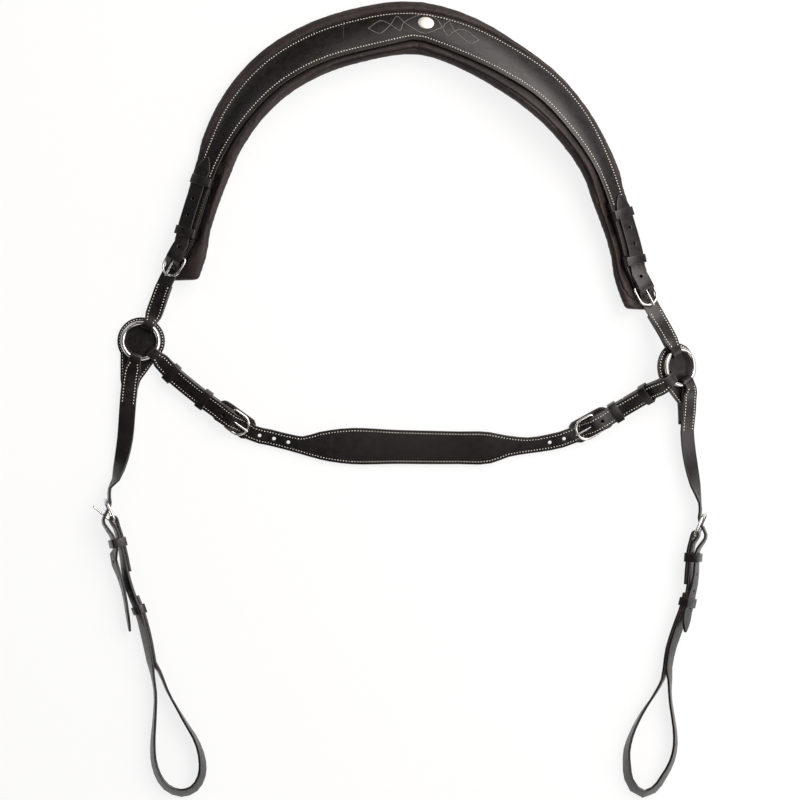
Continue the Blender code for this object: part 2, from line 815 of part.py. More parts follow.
def make_badge(route, x, y, surface, collection):
    """Oval domed badge, turned from a profile and squeezed to its width."""
    s, w = route.nearest(x, y)
    profile = [(0.0, 1.0), (0.45, 0.93), (0.75, 0.70), (0.94, 0.42), (1.0, 0.18), (0.97, 0.0), (0.0, 0.0)]
    shape = bmesh.new()
    verts = [shape.verts.new((r * BADGE_LENGTH / 2 * MM, 0.0, z * BADGE_HEIGHT * MM)) for r, z in profile]
    for a, b in zip(verts, verts[1:]):
        shape.edges.new((a, b))
    mesh = bpy.data.meshes.new("badge")
    shape.to_mesh(mesh)
    shape.free()
    badge = add_object("badge", mesh, surface, collection)
    turn = badge.modifiers.new("turn", "SCREW")
    turn.steps = turn.render_steps = 28
    turn.use_merge_vertices = True
    turn.merge_threshold = 0.00001
    point, tangent, side, normal = route.frame(s)
    lift = STACK_TOP + CLEARANCE + BREAST_CROWN
    placement = Matrix(np.column_stack([tangent, side, normal]).tolist()).to_4x4()
    placement.translation = Vector(((point + side * w + normal * lift) * MM).tolist())
    flatten = Matrix.Diagonal((1.0, BADGE_WIDTH / BADGE_LENGTH, 1.0, 1.0))
    badge.matrix_world = placement @ flatten
    return badge


def make_safe(name, route, surface, collection):
    """Leather plate under a buckle, rising to the underside of the doubled strap behind the bar."""
    below_fold = -(BAR_FOLD_OUTSIDE + CLEARANCE + SAFE_THICKNESS / 2)
    below_stack = STACK_BOTTOM - CLEARANCE - SAFE_THICKNESS / 2
    half = SAFE_WIDTH / 2
    stations = []
    for s, share in ((-31.5, 0.5), (-29.5, 0.8), (-25.0, 1.0), (-12.0, 1.0), (0.0, 1.0), (6.0, 1.0)):
        stations.append(route.station(s, below_fold, half * share))
    for s, share in ((12.0, 1.0), (15.0, 0.92), (18.0, 0.72)):
        stations.append(route.station(s, below_stack, half * share))
    return strap(name, stations, SAFE_THICKNESS, surface, collection)


def centre_layout(parts, cutters):
    """Move everything together, so that the middle of the whole piece is over the origin."""
    bpy.context.view_layer.update()
    graph = bpy.context.evaluated_depsgraph_get()
    low, high = np.full(3, np.inf), np.full(3, -np.inf)
    for item in parts.objects:
        solid = item.evaluated_get(graph)
        for vertex in solid.to_mesh().vertices:
            corner = np.array(item.matrix_world @ vertex.co)
            low = np.minimum(low, corner)
            high = np.maximum(high, corner)
        solid.to_mesh_clear()
    shift = Vector((-(low[0] + high[0]) / 2, -(low[1] + high[1]) / 2, -low[2]))
    for item in [*parts.objects, *cutters.objects]:
        item.location += shift


def build():
    for old in list(bpy.data.objects):
        bpy.data.objects.remove(old, do_unlink=True)
    parts = new_collection("hunting_breastplate")
    cutters = new_collection("cutters")
    hide = material("dark brown bridle leather", (0.030, 0.021, 0.018), 0.45)
    pad_leather = material("soft brown pad leather", (0.036, 0.026, 0.023), 0.6)
    steel = material("polished stainless steel", (0.78, 0.77, 0.75), 0.18, 1.0)
    silver = material("polished badge metal", (0.85, 0.84, 0.82), 0.12, 1.0)

    # Breast piece: x, y, lean, leather inner and outer half width, pad beyond it inside and outside
    half_end = BREAST_END_WIDTH / 2
    arch = [
        (-259.9, 166.1, -24, half_end, half_end, 15.0, 8.5),
        (-254.5, 176.0, -27, half_end, half_end, 13.0, 8.5),
        (-247.5, 196.0, -30, half_end, half_end, 12.5, 8.5),
        (-236.8, 230.2, -31, half_end, half_end, 13.0, 11.0),
        (-217.5, 282.0, -31, 13.2, 13.2, 13.4, 14.9),
        (-189.3, 331.2, -31, 18.0, 18.0, 10.3, 16.8),
        (-150.4, 372.9, -27, 19.8, 19.8, 10.6, 17.9),
        (-101.1, 402.3, -22, 20.5, 20.5, 11.0, 17.6),
        (-45.6, 419.4, -18, 20.7, 20.7, 10.4, 17.1),
        (-15.5, 424.9, -17, 19.1, 20.7, 11.8, 16.6),
        (13.7, 426.1, -17, 15.0, 19.8, 15.8, 16.5),
        (39.8, 421.9, -18, 18.5, 19.5, 13.2, 15.5),
        (70.2, 411.5, -20, 20.3, 20.3, 13.0, 14.2),
        (117.1, 387.9, -26, 20.2, 20.2, 15.8, 11.8),
        (162.1, 357.3, -32, 20.0, 20.0, 18.2, 9.4),
        (197.5, 317.3, -35, 18.3, 18.3, 15.5, 8.5),
        (224.2, 272.3, -35, 13.4, 13.4, 15.0, 10.6),
        (242.6, 224.4, -33, half_end, half_end, 14.5, 11.0),
        (257.0, 177.0, -29, half_end, half_end, 11.5, 10.5),
        (266.5, 142.0, -25, half_end, half_end, 13.0, 8.5),
        (271.4, 132.6, -23, half_end, half_end, 15.0, 8.5),
    ]
    rows = []
    for i, (x, y, lean, inner, outer, roll_in, roll_out) in enumerate(arch):
        at_end = i < 4 or i > len(arch) - 5
        across = ((-inner, -inner - roll_in), (outer, outer + roll_out))
        section = pad_section(*across, 1.0 if at_end else 0.0)
        rows.append((x, y, floor_height(section, lean) - 0.6, lean, inner, outer, roll_in, roll_out))
    breast = Route(rows)
    right_end = breast.backwards()

    # Rings
    flat_height = -GUARD_TOP + GUARD_THICKNESS + 0.1
    left = Junction("left", -304.2, 67.9, 0.0, flat_height)
    tilt = 34.0
    tilted_height = flat_height * math.cos(math.radians(tilt))
    tilted_height += GUARD_DIAMETER / 2 * math.sin(math.radians(tilt)) + 2.4
    right = Junction("right", 315.1, 37.8, tilt, tilted_height)

    # Girth side: each chape runs from its buckle's bar down to the loop
    chape_left = Route(
        [
            (-334.9, -137.5, 13.8, 78),
            (-330.8, -147.5, 13.6, 74),
            (-323.5, -176.0, 13.0, 70),
            (-319.0, -202.4, 12.4, 62),
            (-313.5, -221.0, 12.2, 61),
            (-304.8, -243.0, 12.2, 63),
            (-296.8, -273.7, 11.2, 62),
            (-291.3, -301.3, 10.6, 66),
        ]
    )
    chape_right = Route(
        [
            (333.9, -154.5, 13.8, -78),
            (330.0, -163.8, 13.6, -74),
            (326.6, -192.0, 13.0, -70),
            (325.6, -219.0, 12.6, -62),
            (322.4, -236.0, 12.4, -59),
            (313.2, -262.0, 12.0, -58),
            (304.5, -290.0, 11.2, -62),
            (301.8, -308.0, 10.6, -66),
        ]
    )
    girth_left = Route(
        [
            left.row(-106, RING_RADIUS),
            left.row(-106, RING_RADIUS + 6, -0.3),
            left.row(-106, RING_RADIUS + 18, -2.4, -102),
            (-317.8, 8.0, 6.6, 0),
            (-319.4, -14.0, 7.2, 4),
            (-321.6, -46.0, 8.2, 16),
            (-324.8, -66.0, 9.2, 31),
            (-328.0, -81.0, 10.4, 47),
            (-331.0, -92.0, 11.6, 63),
        ]
    )
    girth_right = Route(
        [
            right.row(-62, RING_RADIUS),
            right.row(-62, RING_RADIUS + 7, -0.2),
            right.row(-69, RING_RADIUS + 19, -2.2, -84),
            right.row(-77, RING_RADIUS + 35, -1.6, -93),
            (322.6, -33.0, 17.4, -35),
            (324.6, -54.0, 12.0, -33),
            (328.8, -80.0, 10.0, -38),
            (332.4, -98.0, 11.0, -51),
        ]
    )

    # Wither side: each chape runs from its buckle's bar back to the ring
    wither_chape_left = Route(
        [
            (-202.5, -19.8, 10.6, -12),
            (-212.5, -12.6, 10.3, -12),
            (-230.8, 0.8, 9.3, -12),
            (-252.0, 17.5, 8.6, -12),
            (-268.5, 31.5, 8.2, -9),
            (-280.2, 43.9, 8.6, -3),
            left.row(-44, RING_RADIUS + 1)[:3] + [0],
            left.row(-44, RING_RADIUS)[:3] + [0],
        ]
    )
    ring_row = right.row(-138, RING_RADIUS, 0.0, 42)
    ring_row_out = right.row(-138, RING_RADIUS + 2, 0.0, 42)
    wither_chape_right = Route(
        [
            (220.2, -26.5, 10.6, 12),
            (231.0, -20.5, 10.3, 12),
            (247.3, -10.6, 10.8, 13),
            (265.5, 0.6, 16.0, 16),
            (280.5, 9.8, 24.4, 20),
            right.row(-138, RING_RADIUS + 10.5, -2.0, 42),
            ring_row_out,
            ring_row,
        ]
    )
    bars = {
        "breast": {"left": breast, "right": right_end},
        "wither": {"left": wither_chape_left, "right": wither_chape_right},
        "girth": {"left": chape_left, "right": chape_right},
    }

    # Breast leather: return end, round the left bar, over the arch, round the right bar, return end
    def leather(s):
        inner, outer = breast.column(s, breast.extra)[:2]
        return breast.station(s, LAYER / 2, (inner + outer) / 2, (outer - inner) / 2)

    near_end = 24.0
    left_fold = fold_round_bar(breast, near_end, BREAST_RETURN, half_end)
    right_fold = fold_round_bar(right_end, near_end, BREAST_RETURN, half_end)
    arch_places = even(near_end + 12.0, breast.length - near_end - 12.0, 15.0)
    flat = [np.append(row, 0.0) for row in left_fold[::-1]]
    crowned = [np.append(leather(s), crown_share(s, breast.length)) for s in arch_places]
    rest = [np.append(row, 0.0) for row in right_fold]
    slots = [
        bar_slot(breast, "slot_breast_left", cutters),
        bar_slot(right_end, "slot_breast_right", cutters),
    ]
    strap(
        "breast_strap", flat + crowned + rest, STRAP_THICKNESS, hide, parts, slots, BREAST_CROWN, 4
    )
    make_pad(breast, pad_leather, parts)
    make_badge(breast, 23.3, 430.5, silver, parts)

    # Buckles, with the left girth prong standing off its frame
    prong_lift = {"left": 27.0, "right": 0.0}
    for place, routes in bars.items():
        for side, route in routes.items():
            lift = prong_lift[side] if place == "girth" else 0.0
            make_buckle(f"{place}_buckle_{side}", route, steel, parts)
            make_prong(f"{place}_prong_{side}", route, lift, steel, parts)

    # Rings and guards
    for junction, route in ((left, girth_left), (right, girth_right)):
        make_ring(junction, steel, parts)
        make_guard(junction, route, hide, parts)

    # Connectors: fold round the ring, then billet through the breast buckle to its tip
    connectors = [
        ("left", left, 63.0, (-285.0, 109.0, 9.8, -11), breast, 1, 117.0, 28.0, 89.0),
        ("right", right, 117.0, (293.4, 87.0, 19.8, 26), right_end, -1, 106.0, 29.0, 84.0),
    ]
    for side, junction, bearing, middle, route, outward, tip, fixed, loose in connectors:
        under = BILLET_UNDER_FRONT - LAYER / 2
        entry_rows = []
        for back in (-BUCKLE_LENGTH - 9.0, -BUCKLE_LENGTH - 3.0):
            point, tangent, across, _ = route.frame(back)
            entry_rows.append([*route.place(back, under), lean_from_side(tangent, across)])
        start = Route(
            [
                junction.row(bearing, RING_RADIUS),
                junction.row(bearing, RING_RADIUS + 9.0),
                middle,
                *entry_rows,
            ]
        )
        fold = fold_round_ring(start, start.length - 8.0, HALF_STRAP)
        along = list(np.arange(32.0, start.length - 8.0, 11.0))
        fold += [start.station(s, LAYER / 2, HALF_STRAP) for s in along]
        entry = laid(route, reversed(snug_profile()), HALF_STRAP)
        run = [
            route.station(s, BILLET_ON_STACK, HALF_STRAP, outward * drift(s))
            for s in [*np.arange(26.0, tip - 5.0, 12.0), tip]
        ]
        holes = prong_holes(fold, entry, run, route, 0.0, HOLE_PITCH, 0)
        cutter = punch(f"holes_connector_{side}", holes, cutters)
        stations = pointed(fold + entry + run, HALF_STRAP)
        strap(f"connector_strap_{side}", stations, STRAP_THICKNESS, hide, parts, [cutter])
        for name, s, play in (("keeper", fixed, RUNNER_PLAY / 2), ("runner", loose, RUNNER_PLAY)):
            edges = [-half_end, half_end]
            edges[1 if outward > 0 else 0] = outward * max(half_end, HALF_STRAP + drift(s))
            levels = (STACK_BOTTOM, STACK_TOP + LAYER)
            make_keeper(f"breast_{name}_{side}", route, s, edges, levels, hide, parts, play)

    # Girth loop straps: fold round the bar, run down doubled, round the loop, end inside the run
    loops = {
        "left": [
            (-290.3, -316.0, 76),
            (-287.2, -336.0, 80),
            (-287.9, -365.7, 79),
            (-289.8, -394.5, 74),
            (-289.2, -412.9, 70),
            (-284.7, -430.1, 66),
            (-274.5, -445.1, 62),
            (-257.6, -452.0, 60),
            (-242.9, -447.1, 64),
            (-234.0, -432.4, 70),
            (-233.0, -416.9, 75),
            (-237.8, -397.2, 84),
            (-255.3, -366.4, 93),
            (-274.4, -332.0, 100),
            (-282.6, -312.0, 104),
        ],
        "right": [
            (304.6, -322.0, -74),
            (304.6, -336.0, -79),
            (305.9, -350.8, -80),
            (309.8, -376.1, -78),
            (310.8, -396.8, -74),
            (306.9, -415.2, -70),
            (297.4, -433.2, -66),
            (285.7, -448.5, -62),
            (274.6, -453.1, -60),
            (263.7, -447.1, -62),
            (257.4, -435.9, -67),
            (255.2, -419.2, -72),
            (255.3, -403.1, -78),
            (259.9, -386.4, -86),
            (272.4, -360.5, -93),
            (288.7, -335.8, -101),
            (296.6, -321.0, -104),
        ],
    }
    returns = {"left": (62.0, 92.0), "right": (58.0, 68.0)}
    for side, route in bars["girth"].items():
        first_end, last_end = returns[side]
        before = fold_round_bar(route, 22.0, first_end, HALF_STRAP)[::-1]
        before += laid(route, [(s, LAYER / 2) for s in even(34.0, route.length, 12.0)], HALF_STRAP)
        after = laid(
            route, [(s, -LAYER / 2) for s in even(route.length, last_end, 12.0)], HALF_STRAP
        )
        drop = [(x, y, edge_height(lean), lean, HALF_STRAP) for x, y, lean in loops[side]]
        stations = before + bridge(before, drop, after) + after
        slot = bar_slot(route, f"slot_girth_{side}", cutters)
        strap(f"girth_loop_strap_{side}", stations, STRAP_THICKNESS, hide, parts, [slot])

    # Girth straps: fold round the ring, then billet through the girth buckle
    free_end = [
        (-335.2, -180.0, 10.8, 64),
        (-329.0, -201.0, 10.1, 71),
        (-323.6, -219.7, 9.9, 75),
        (-319.7, -242.7, 9.9, 77),
        (-316.3, -266.3, 9.9, 78),
    ]
    on_stack = BILLET_ON_STACK + CLEARANCE / 2
    loose_end = [(45.0, STACK_TOP + 5.2), (58.0, STACK_TOP + 3.6), (70.0, on_stack)]
    loose_end += [(77.0, on_stack), (83.0, on_stack), (89.0, on_stack)]
    loose_end += [(99.0, STACK_TOP + 4.0), (112.0, STACK_TOP + 8.0)]
    for side, junction, route in (("left", left, girth_left), ("right", right, girth_right)):
        bar = bars["girth"][side]
        fold = fold_round_ring(route, 46.0, HALF_STRAP)
        fold += laid(route, [(s, LAYER / 2) for s in even(32.0, route.length, 12.0)], HALF_STRAP)
        entry = laid(bar, reversed(bowed_profile()), HALF_STRAP)
        if side == "left":
            run = bridge(entry, [(*row, HALF_STRAP) for row in free_end], None)
        else:
            run = laid(bar, loose_end, HALF_STRAP)
        lead = fold + bridge(fold, [], entry)
        holes = prong_holes(lead, entry, run, bar, prong_lift[side], HOLE_PITCH, 2)
        cutter = punch(f"holes_girth_{side}", holes, cutters)
        stations = pointed(lead + entry + run, HALF_STRAP)
        strap(
            f"girth_strap_{side}",
            stations,
            STRAP_THICKNESS,
            hide,
            parts,
            [cutter],
            pivot=junction.centre,
        )
    across = (-HALF_STRAP, HALF_STRAP)
    high = (STACK_BOTTOM, STACK_TOP + LAYER)
    low = (STACK_BOTTOM, STACK_TOP)
    wide = (STACK_BOTTOM, STACK_TOP + LAYER + KEEPER_SLACK + 1.2)
    make_keeper("girth_keeper_left", chape_left, 27.0, across, wide, hide, parts)
    make_keeper("girth_keeper_right", chape_right, 27.0, across, wide, hide, parts)
    make_keeper("girth_runner_left", chape_left, 108.0, across, low, hide, parts, RUNNER_PLAY)
    make_keeper("girth_runner_right", chape_right, 79.0, across, high, hide, parts, RUNNER_PLAY)

    # Wither chapes, doubled between the ring and the buckle's bar, with a safe under each buckle
    keeper_at = {"left": (83.0, 35.0), "right": (68.0, 25.5)}
    for side, route in bars["wither"].items():
        back = route.backwards()
        meet = 40.0
        ring_end = fold_round_ring(back, route.length - meet - 1.0, HALF_STRAP)
        bar_end = fold_round_bar(route, 22.0, meet, HALF_STRAP)
        for row in ring_end:
            row[3:6] *= -1
        middle = laid(
            route, [(s, LAYER / 2) for s in even(route.length - 32.0, 33.0, 7.0)], HALF_STRAP
        )
        slot = bar_slot(route, f"slot_wither_{side}", cutters)
        strap(
            f"wither_chape_{side}",
            ring_end + middle + bar_end,
            STRAP_THICKNESS,
            hide,
            parts,
            [slot],
        )
        make_safe(f"wither_safe_{side}", route, hide, parts)
        fixed, loose = keeper_at[side]
        make_keeper(
            f"wither_keeper_{side}", route, fixed, across, high, hide, parts, RUNNER_PLAY / 2
        )
        make_keeper(f"wither_runner_{side}", route, loose, across, high, hide, parts, RUNNER_PLAY)

    # Wither strap: billet, wide middle, billet; lining under the wide middle
    wide = [
        (-155.3, -43.2, 12, HALF_STRAP),
        (-133.0, -48.8, 10, HALF_STRAP),
        (-119.0, -52.0, 8, 10.4),
        (-98.4, -52.6, 6, 16.0),
        (-74.0, -52.9, 5, 20.0),
        (-5.8, -54.1, 5, 19.6),
        (61.6, -55.0, 8, 19.0),
        (98.0, -54.9, 12, 18.4),
        (119.0, -53.2, 14, 12.6),
        (141.5, -52.3, 15, HALF_STRAP),
        (166.0, -48.8, 14, HALF_STRAP),
    ]
    under = -(STRAP_THICKNESS / 2 + CLEARANCE + LINING_THICKNESS)
    rows = []
    for x, y, lean, half in wide:
        height = floor_height([(half, under), (-half, under)], lean)
        rows.append((x, y, height + CLEARANCE, lean, half))
    left_bar, right_bar = bars["wither"]["left"], bars["wither"]["right"]
    left_tip, right_tip = keeper_at["left"][0] + 3.0, keeper_at["right"][0] + 3.0
    left_run = laid(
        left_bar, [(s, BILLET_ON_STACK) for s in even(left_tip, 26.0, 8.0)], HALF_STRAP
    )
    left_entry = laid(left_bar, snug_profile(), HALF_STRAP)
    right_entry = laid(right_bar, reversed(snug_profile()), HALF_STRAP)
    right_run = laid(
        right_bar, [(s, BILLET_ON_STACK) for s in even(26.0, right_tip, 7.0)], HALF_STRAP
    )
    for row in left_run + left_entry:
        row[3:6] *= -1
    middle = bridge(left_run + left_entry, rows, right_entry)
    stations = left_run + left_entry + middle + right_entry + right_run
    holes = []
    for bar, first, entry, count in (
        (left_bar, left_run, left_entry, (1, 4)),
        (right_bar, left_run + left_entry + middle, right_entry, (3, 2)),
    ):
        holes += billet_holes(stations, first, entry, bar, 0.0, WITHER_HOLE_PITCH, count)
    cutter = punch("holes_wither", holes, cutters)
    hinge = (left.row(-44, RING_RADIUS)[:3], right.row(-138, RING_RADIUS)[:3])
    middle_of_hinge = (np.array(hinge[0]) + np.array(hinge[1])) / 2
    strap("wither_strap", stations, STRAP_THICKNESS, hide, parts, [cutter], pivot=middle_of_hinge)
    lining = []
    drop = -(STRAP_THICKNESS / 2 + CLEARANCE + LINING_THICKNESS / 2)
    course = tangents(np.array(middle)[:, :3])
    for row, tangent in zip(middle, course):
        if row[6] > HALF_STRAP + 0.6:
            normal = unit(np.cross(tangent, row[3:6]))
            lining.append(np.concatenate([row[:3] + drop * normal, row[3:6], [row[6] - 0.5]]))
    strap("wither_lining", lining, LINING_THICKNESS, pad_leather, parts)
    centre_layout(parts, cutters)


build()
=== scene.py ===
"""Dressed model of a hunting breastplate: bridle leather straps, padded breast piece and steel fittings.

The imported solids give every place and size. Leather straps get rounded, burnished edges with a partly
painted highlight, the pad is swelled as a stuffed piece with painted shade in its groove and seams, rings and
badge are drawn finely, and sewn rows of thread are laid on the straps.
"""

import json
import math

import bmesh
import bpy
import numpy as np
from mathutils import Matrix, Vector, noise
from mathutils.bvhtree import BVHTree
from mathutils.kdtree import KDTree


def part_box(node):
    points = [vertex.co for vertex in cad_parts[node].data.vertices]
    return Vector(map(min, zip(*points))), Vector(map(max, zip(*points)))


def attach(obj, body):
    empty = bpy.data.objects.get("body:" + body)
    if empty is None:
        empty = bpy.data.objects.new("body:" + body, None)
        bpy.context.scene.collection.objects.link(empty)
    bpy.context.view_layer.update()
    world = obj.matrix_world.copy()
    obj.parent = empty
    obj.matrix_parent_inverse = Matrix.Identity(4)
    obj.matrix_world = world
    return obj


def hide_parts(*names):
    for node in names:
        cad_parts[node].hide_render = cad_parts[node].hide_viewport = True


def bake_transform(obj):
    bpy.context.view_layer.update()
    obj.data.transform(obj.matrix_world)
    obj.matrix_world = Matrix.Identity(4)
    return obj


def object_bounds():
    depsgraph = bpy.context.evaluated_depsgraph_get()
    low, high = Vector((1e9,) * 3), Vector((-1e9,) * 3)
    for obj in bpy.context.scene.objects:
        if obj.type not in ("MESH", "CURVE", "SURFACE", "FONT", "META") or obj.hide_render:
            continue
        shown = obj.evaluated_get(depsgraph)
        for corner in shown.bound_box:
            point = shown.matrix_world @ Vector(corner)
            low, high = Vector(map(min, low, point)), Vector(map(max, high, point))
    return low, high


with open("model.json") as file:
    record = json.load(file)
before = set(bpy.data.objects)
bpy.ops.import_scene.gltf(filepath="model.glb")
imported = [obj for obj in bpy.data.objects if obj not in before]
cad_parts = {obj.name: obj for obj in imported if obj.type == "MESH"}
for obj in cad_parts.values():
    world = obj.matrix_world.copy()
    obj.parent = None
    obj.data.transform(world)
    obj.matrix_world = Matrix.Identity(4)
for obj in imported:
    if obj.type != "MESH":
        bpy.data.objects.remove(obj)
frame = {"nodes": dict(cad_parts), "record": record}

bl_info = {
    "name": "Hunting breastplate",
    "version": (1, 0, 0),
    "blender": (4, 5, 0),
    "location": "3D View > Sidebar > Breastplate",
    "description": "Leather hunting breastplate with padded breast piece, rings, buckles and sewn straps",
    "category": "Object",
}

MM = 0.001
LENGTH = {"subtype": "DISTANCE", "unit": "LENGTH"}
# Points of a solid closer than this are one point.
SAME_POINT = 0.002 * MM
SIDES = ("left", "right")
CAD_BOX = [[float(v) for v in corner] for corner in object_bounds()]
# The camera's place above the middle, and the side of the picture in pixels.
CAMERA_PLACE = (-0.00079, -0.00051, 3.01)
CAMERA_LENS = 117.4
SENSOR = 36.0
PHOTO_SIDE = 800

LEATHER_NODES = (
    "breast_strap",
    "connector_strap_left", "connector_strap_right",
    "girth_strap_left", "girth_strap_right",
    "girth_loop_strap_left", "girth_loop_strap_right",
    "ring_guard_left", "ring_guard_right",
    "wither_strap", "wither_lining",
    "wither_chape_left", "wither_chape_right",
    "wither_safe_left", "wither_safe_right",
)
KEEPER_NODES, METAL_NODES = (
    tuple(f"{row}_{kind}_{side}" for row in ("breast", "girth", "wither") for kind in kinds for side in SIDES)
    for kinds in (("keeper", "runner"), ("buckle", "prong"))
)
BODY_OF = {node: body for body, members in frame["record"]["behaviour"]["bodies"].items() for node in members}

# Middle and axis of each ring.
RING_CENTRES = {
    "left": ((-0.299235, 0.067429, 0.0090), (0.0, 0.0, 1.0)),
    "right": ((0.320065, 0.037329, 0.02524), (0.559193, 0.0, 0.829038)),
}

# Middle of the arch, the bars of the two breast buckles, and the join of the pad's cover across its inner
# roll, with half its reach, in metres seen from above.
ARCH_CENTRE = (0.01, 0.15)
BREAST_BARS = ((-0.25494, 0.16559), (0.27636, 0.13209))
PAD_JOIN, JOIN_REACH = (0.0205, 0.4010), 12 * MM
# A fine crease across the breast leather: its place along X, half its width, and where it ends along Y.
CREASE_PLACE, CREASE_HALF, CREASE_END = -0.0655, 0.4 * MM, 0.4135
# The crown of the breast leather starts this far from the buckle bars and is fully up after this length.
CROWN_START, CROWN_RISE = 100 * MM, 50 * MM
# Stuffing of the pad: how stiff its soft cover is, the pressure inside it, the steps of the simulation, and
# how far the cover stays from the other pieces.
STUFFING = {
    "quality": 4, "mass": 0.2, "tension_stiffness": 12, "compression_stiffness": 12, "shear_stiffness": 6,
    "bending_stiffness": 0.6, "use_pressure": True, "uniform_pressure_force": 4.0,
}
STUFFING_STEPS = 16
PAD_CLEARANCE = 0.7 * MM
# Pieces further off than FAR don't hinder the stuffing. Distances to the breast leather end at LEATHER_REACH.
FAR, LEATHER_REACH = 20 * MM, 30 * MM
# The pad's seam: half its width, its depth, and the depth of the puckers in the cover.
SEAM_HALF, SEAM_DEPTH, PUCKER_DEPTH = 1.3 * MM, 0.6 * MM, 0.22 * MM
# The seam shows from this place along X, and is fully there after this length.
SEAM_START, SEAM_RISE = -0.115, 50 * MM
# By the path of a breast runner the pad lies this deep in its solid, up to this far beside the path and
# beyond it, and is blended over this width.
SUNK, BESIDE_PATH, BEYOND_PATH, PATH_BLEND = 0.3 * MM, 21 * MM, 13 * MM, 5 * MM
# Thread stands this far out of the leather, and is sunk on the wither strap, because runners slide over it.
THREAD_LIFT, SUNK_THREAD_LIFT = 0.12 * MM, -0.25 * MM
# Rims of holes are shorter than this and get no stitches, nor do stretches of a row with fewer points.
SHORTEST_RIM, FEWEST = 60 * MM, 9

# A surface faces up where its normal's Z is above this, and down where it is below minus this.
FACING = 0.3
# Nearly all values of a noise pattern lie in this range.
NOISE_SPAN = {"From Min": 0.3, "From Max": 0.7}

# The two crossing strands of the fancy stitch beside and under the badge, as places in the picture.
FANCY_STRANDS = (
    ((368, 28.7), (380, 21), (390.5, 24.7), (399.7, 30.4), (404.3, 22.4), (418, 15.5), (428, 14.6),
     (437, 19.5), (442.2, 27.5), (448, 35.6), (454.8, 31), (465, 30.4), (478.9, 40.2)),
    ((368, 28.7), (380, 33.3), (390.5, 24.7), (396.8, 16.6), (404.3, 22.4), (413.5, 28.7), (425, 33.3),
     (438.7, 28.7), (442.2, 27.5), (449, 21.8), (454.8, 31), (469.7, 43), (478.9, 40.2)),
)


class BreastplateSizes(bpy.types.PropertyGroup):
    edge_round: bpy.props.FloatProperty(
        name="Edge rounding", description="Radius of the burnished strap edges",
        default=0.6 * MM, min=0.1 * MM, max=1.2 * MM, **LENGTH)
    keeper_round: bpy.props.FloatProperty(
        name="Keeper edge rounding", description="Radius of the edges of keepers and runners",
        default=0.4 * MM, min=0.1 * MM, max=0.7 * MM, **LENGTH)
    stitch_pitch: bpy.props.FloatProperty(
        name="Stitch pitch", description="Distance from one stitch to the next along a sewn row",
        default=3.3 * MM, min=2.0 * MM, max=6.0 * MM, **LENGTH)
    stitch_length: bpy.props.FloatProperty(
        name="Stitch length", description="Length of thread that one stitch shows",
        default=1.5 * MM, min=1.0 * MM, max=5.0 * MM, **LENGTH)
    thread_width: bpy.props.FloatProperty(
        name="Thread width", description="Thickness of the sewing thread",
        default=1.25 * MM, min=0.3 * MM, max=1.5 * MM, **LENGTH)
    crown: bpy.props.FloatProperty(
        name="Breast leather crown", description="Height of the breast leather's raised middle",
        default=1.4 * MM, min=0.0, max=4.0 * MM, **LENGTH)
    pad_voxel: bpy.props.FloatProperty(
        name="Pad mesh size", description="Size of the mesh that the pad is stuffed with",
        default=2.6 * MM, min=2.0 * MM, max=6.0 * MM, **LENGTH)
    pad_swell: bpy.props.FloatProperty(
        name="Pad swell", description="Most that the stuffing may push the pad's cover out",
        default=1.6 * MM, min=0.0, max=6.0 * MM, **LENGTH)
    pad_seam: bpy.props.FloatProperty(
        name="Pad seam place", description="Share of the pad's inner roll that lies above its seam",
        default=0.67, min=0.2, max=0.9, subtype="FACTOR")
    ring_radius: bpy.props.FloatProperty(
        name="Ring radius", description="Radius of the ring's wire centre line",
        default=20.5 * MM, min=10.0 * MM, max=40.0 * MM, **LENGTH)
    ring_wire: bpy.props.FloatProperty(
        name="Ring wire", description="Thickness of the ring's wire",
        default=5.0 * MM, min=2.0 * MM, max=8.0 * MM, **LENGTH)


class BreastplateColours(bpy.types.PropertyGroup):
    leather: bpy.props.StringProperty(
        name="Bridle leather", description="Base colour of the straps, sRGB hex", default="#0a0705")
    leather_warm: bpy.props.StringProperty(
        name="Bridle leather, rubbed", description="Colour of the straps where they are rubbed, sRGB hex",
        default="#140f0c")
    # The edge colour is lighter partly for real burnished wear and partly as a painted highlight along the
    # strap edges.
    edge: bpy.props.StringProperty(
        name="Burnished edge", description="Colour of the strap edges, sRGB hex", default="#3a302a")
    pad: bpy.props.StringProperty(
        name="Pad leather", description="Base colour of the soft pad cover, sRGB hex", default="#221b19")
    pad_light: bpy.props.StringProperty(
        name="Pad leather, stretched", description="Colour of the pad cover where it is stretched, sRGB hex",
        default="#342b28")
    thread: bpy.props.StringProperty(
        name="Cream thread", description="Colour of the light sewing thread, sRGB hex", default="#f6f0e4")
    thread_dark: bpy.props.StringProperty(
        name="Dark thread", description="Colour of the dark sewing thread, sRGB hex", default="#54483e")
    thread_fancy: bpy.props.StringProperty(
        name="Fancy stitch thread", description="Colour of the ornamental stitch, sRGB hex",
        default="#8c8580")
    steel: bpy.props.StringProperty(
        name="Stainless steel", description="Colour of rings and buckles, sRGB hex", default="#dcdad6")
    badge: bpy.props.StringProperty(
        name="Badge metal", description="Colour of the oval badge, sRGB hex", default="#f4f2ec")


def linear(code):
    """Linear colour of an sRGB hex value."""
    parts = [int(code.lstrip("#")[i:i + 2], 16) / 255 for i in (0, 2, 4)]
    return [p / 12.92 if p <= 0.04045 else ((p + 0.055) / 1.055) ** 2.4 for p in parts] + [1.0]


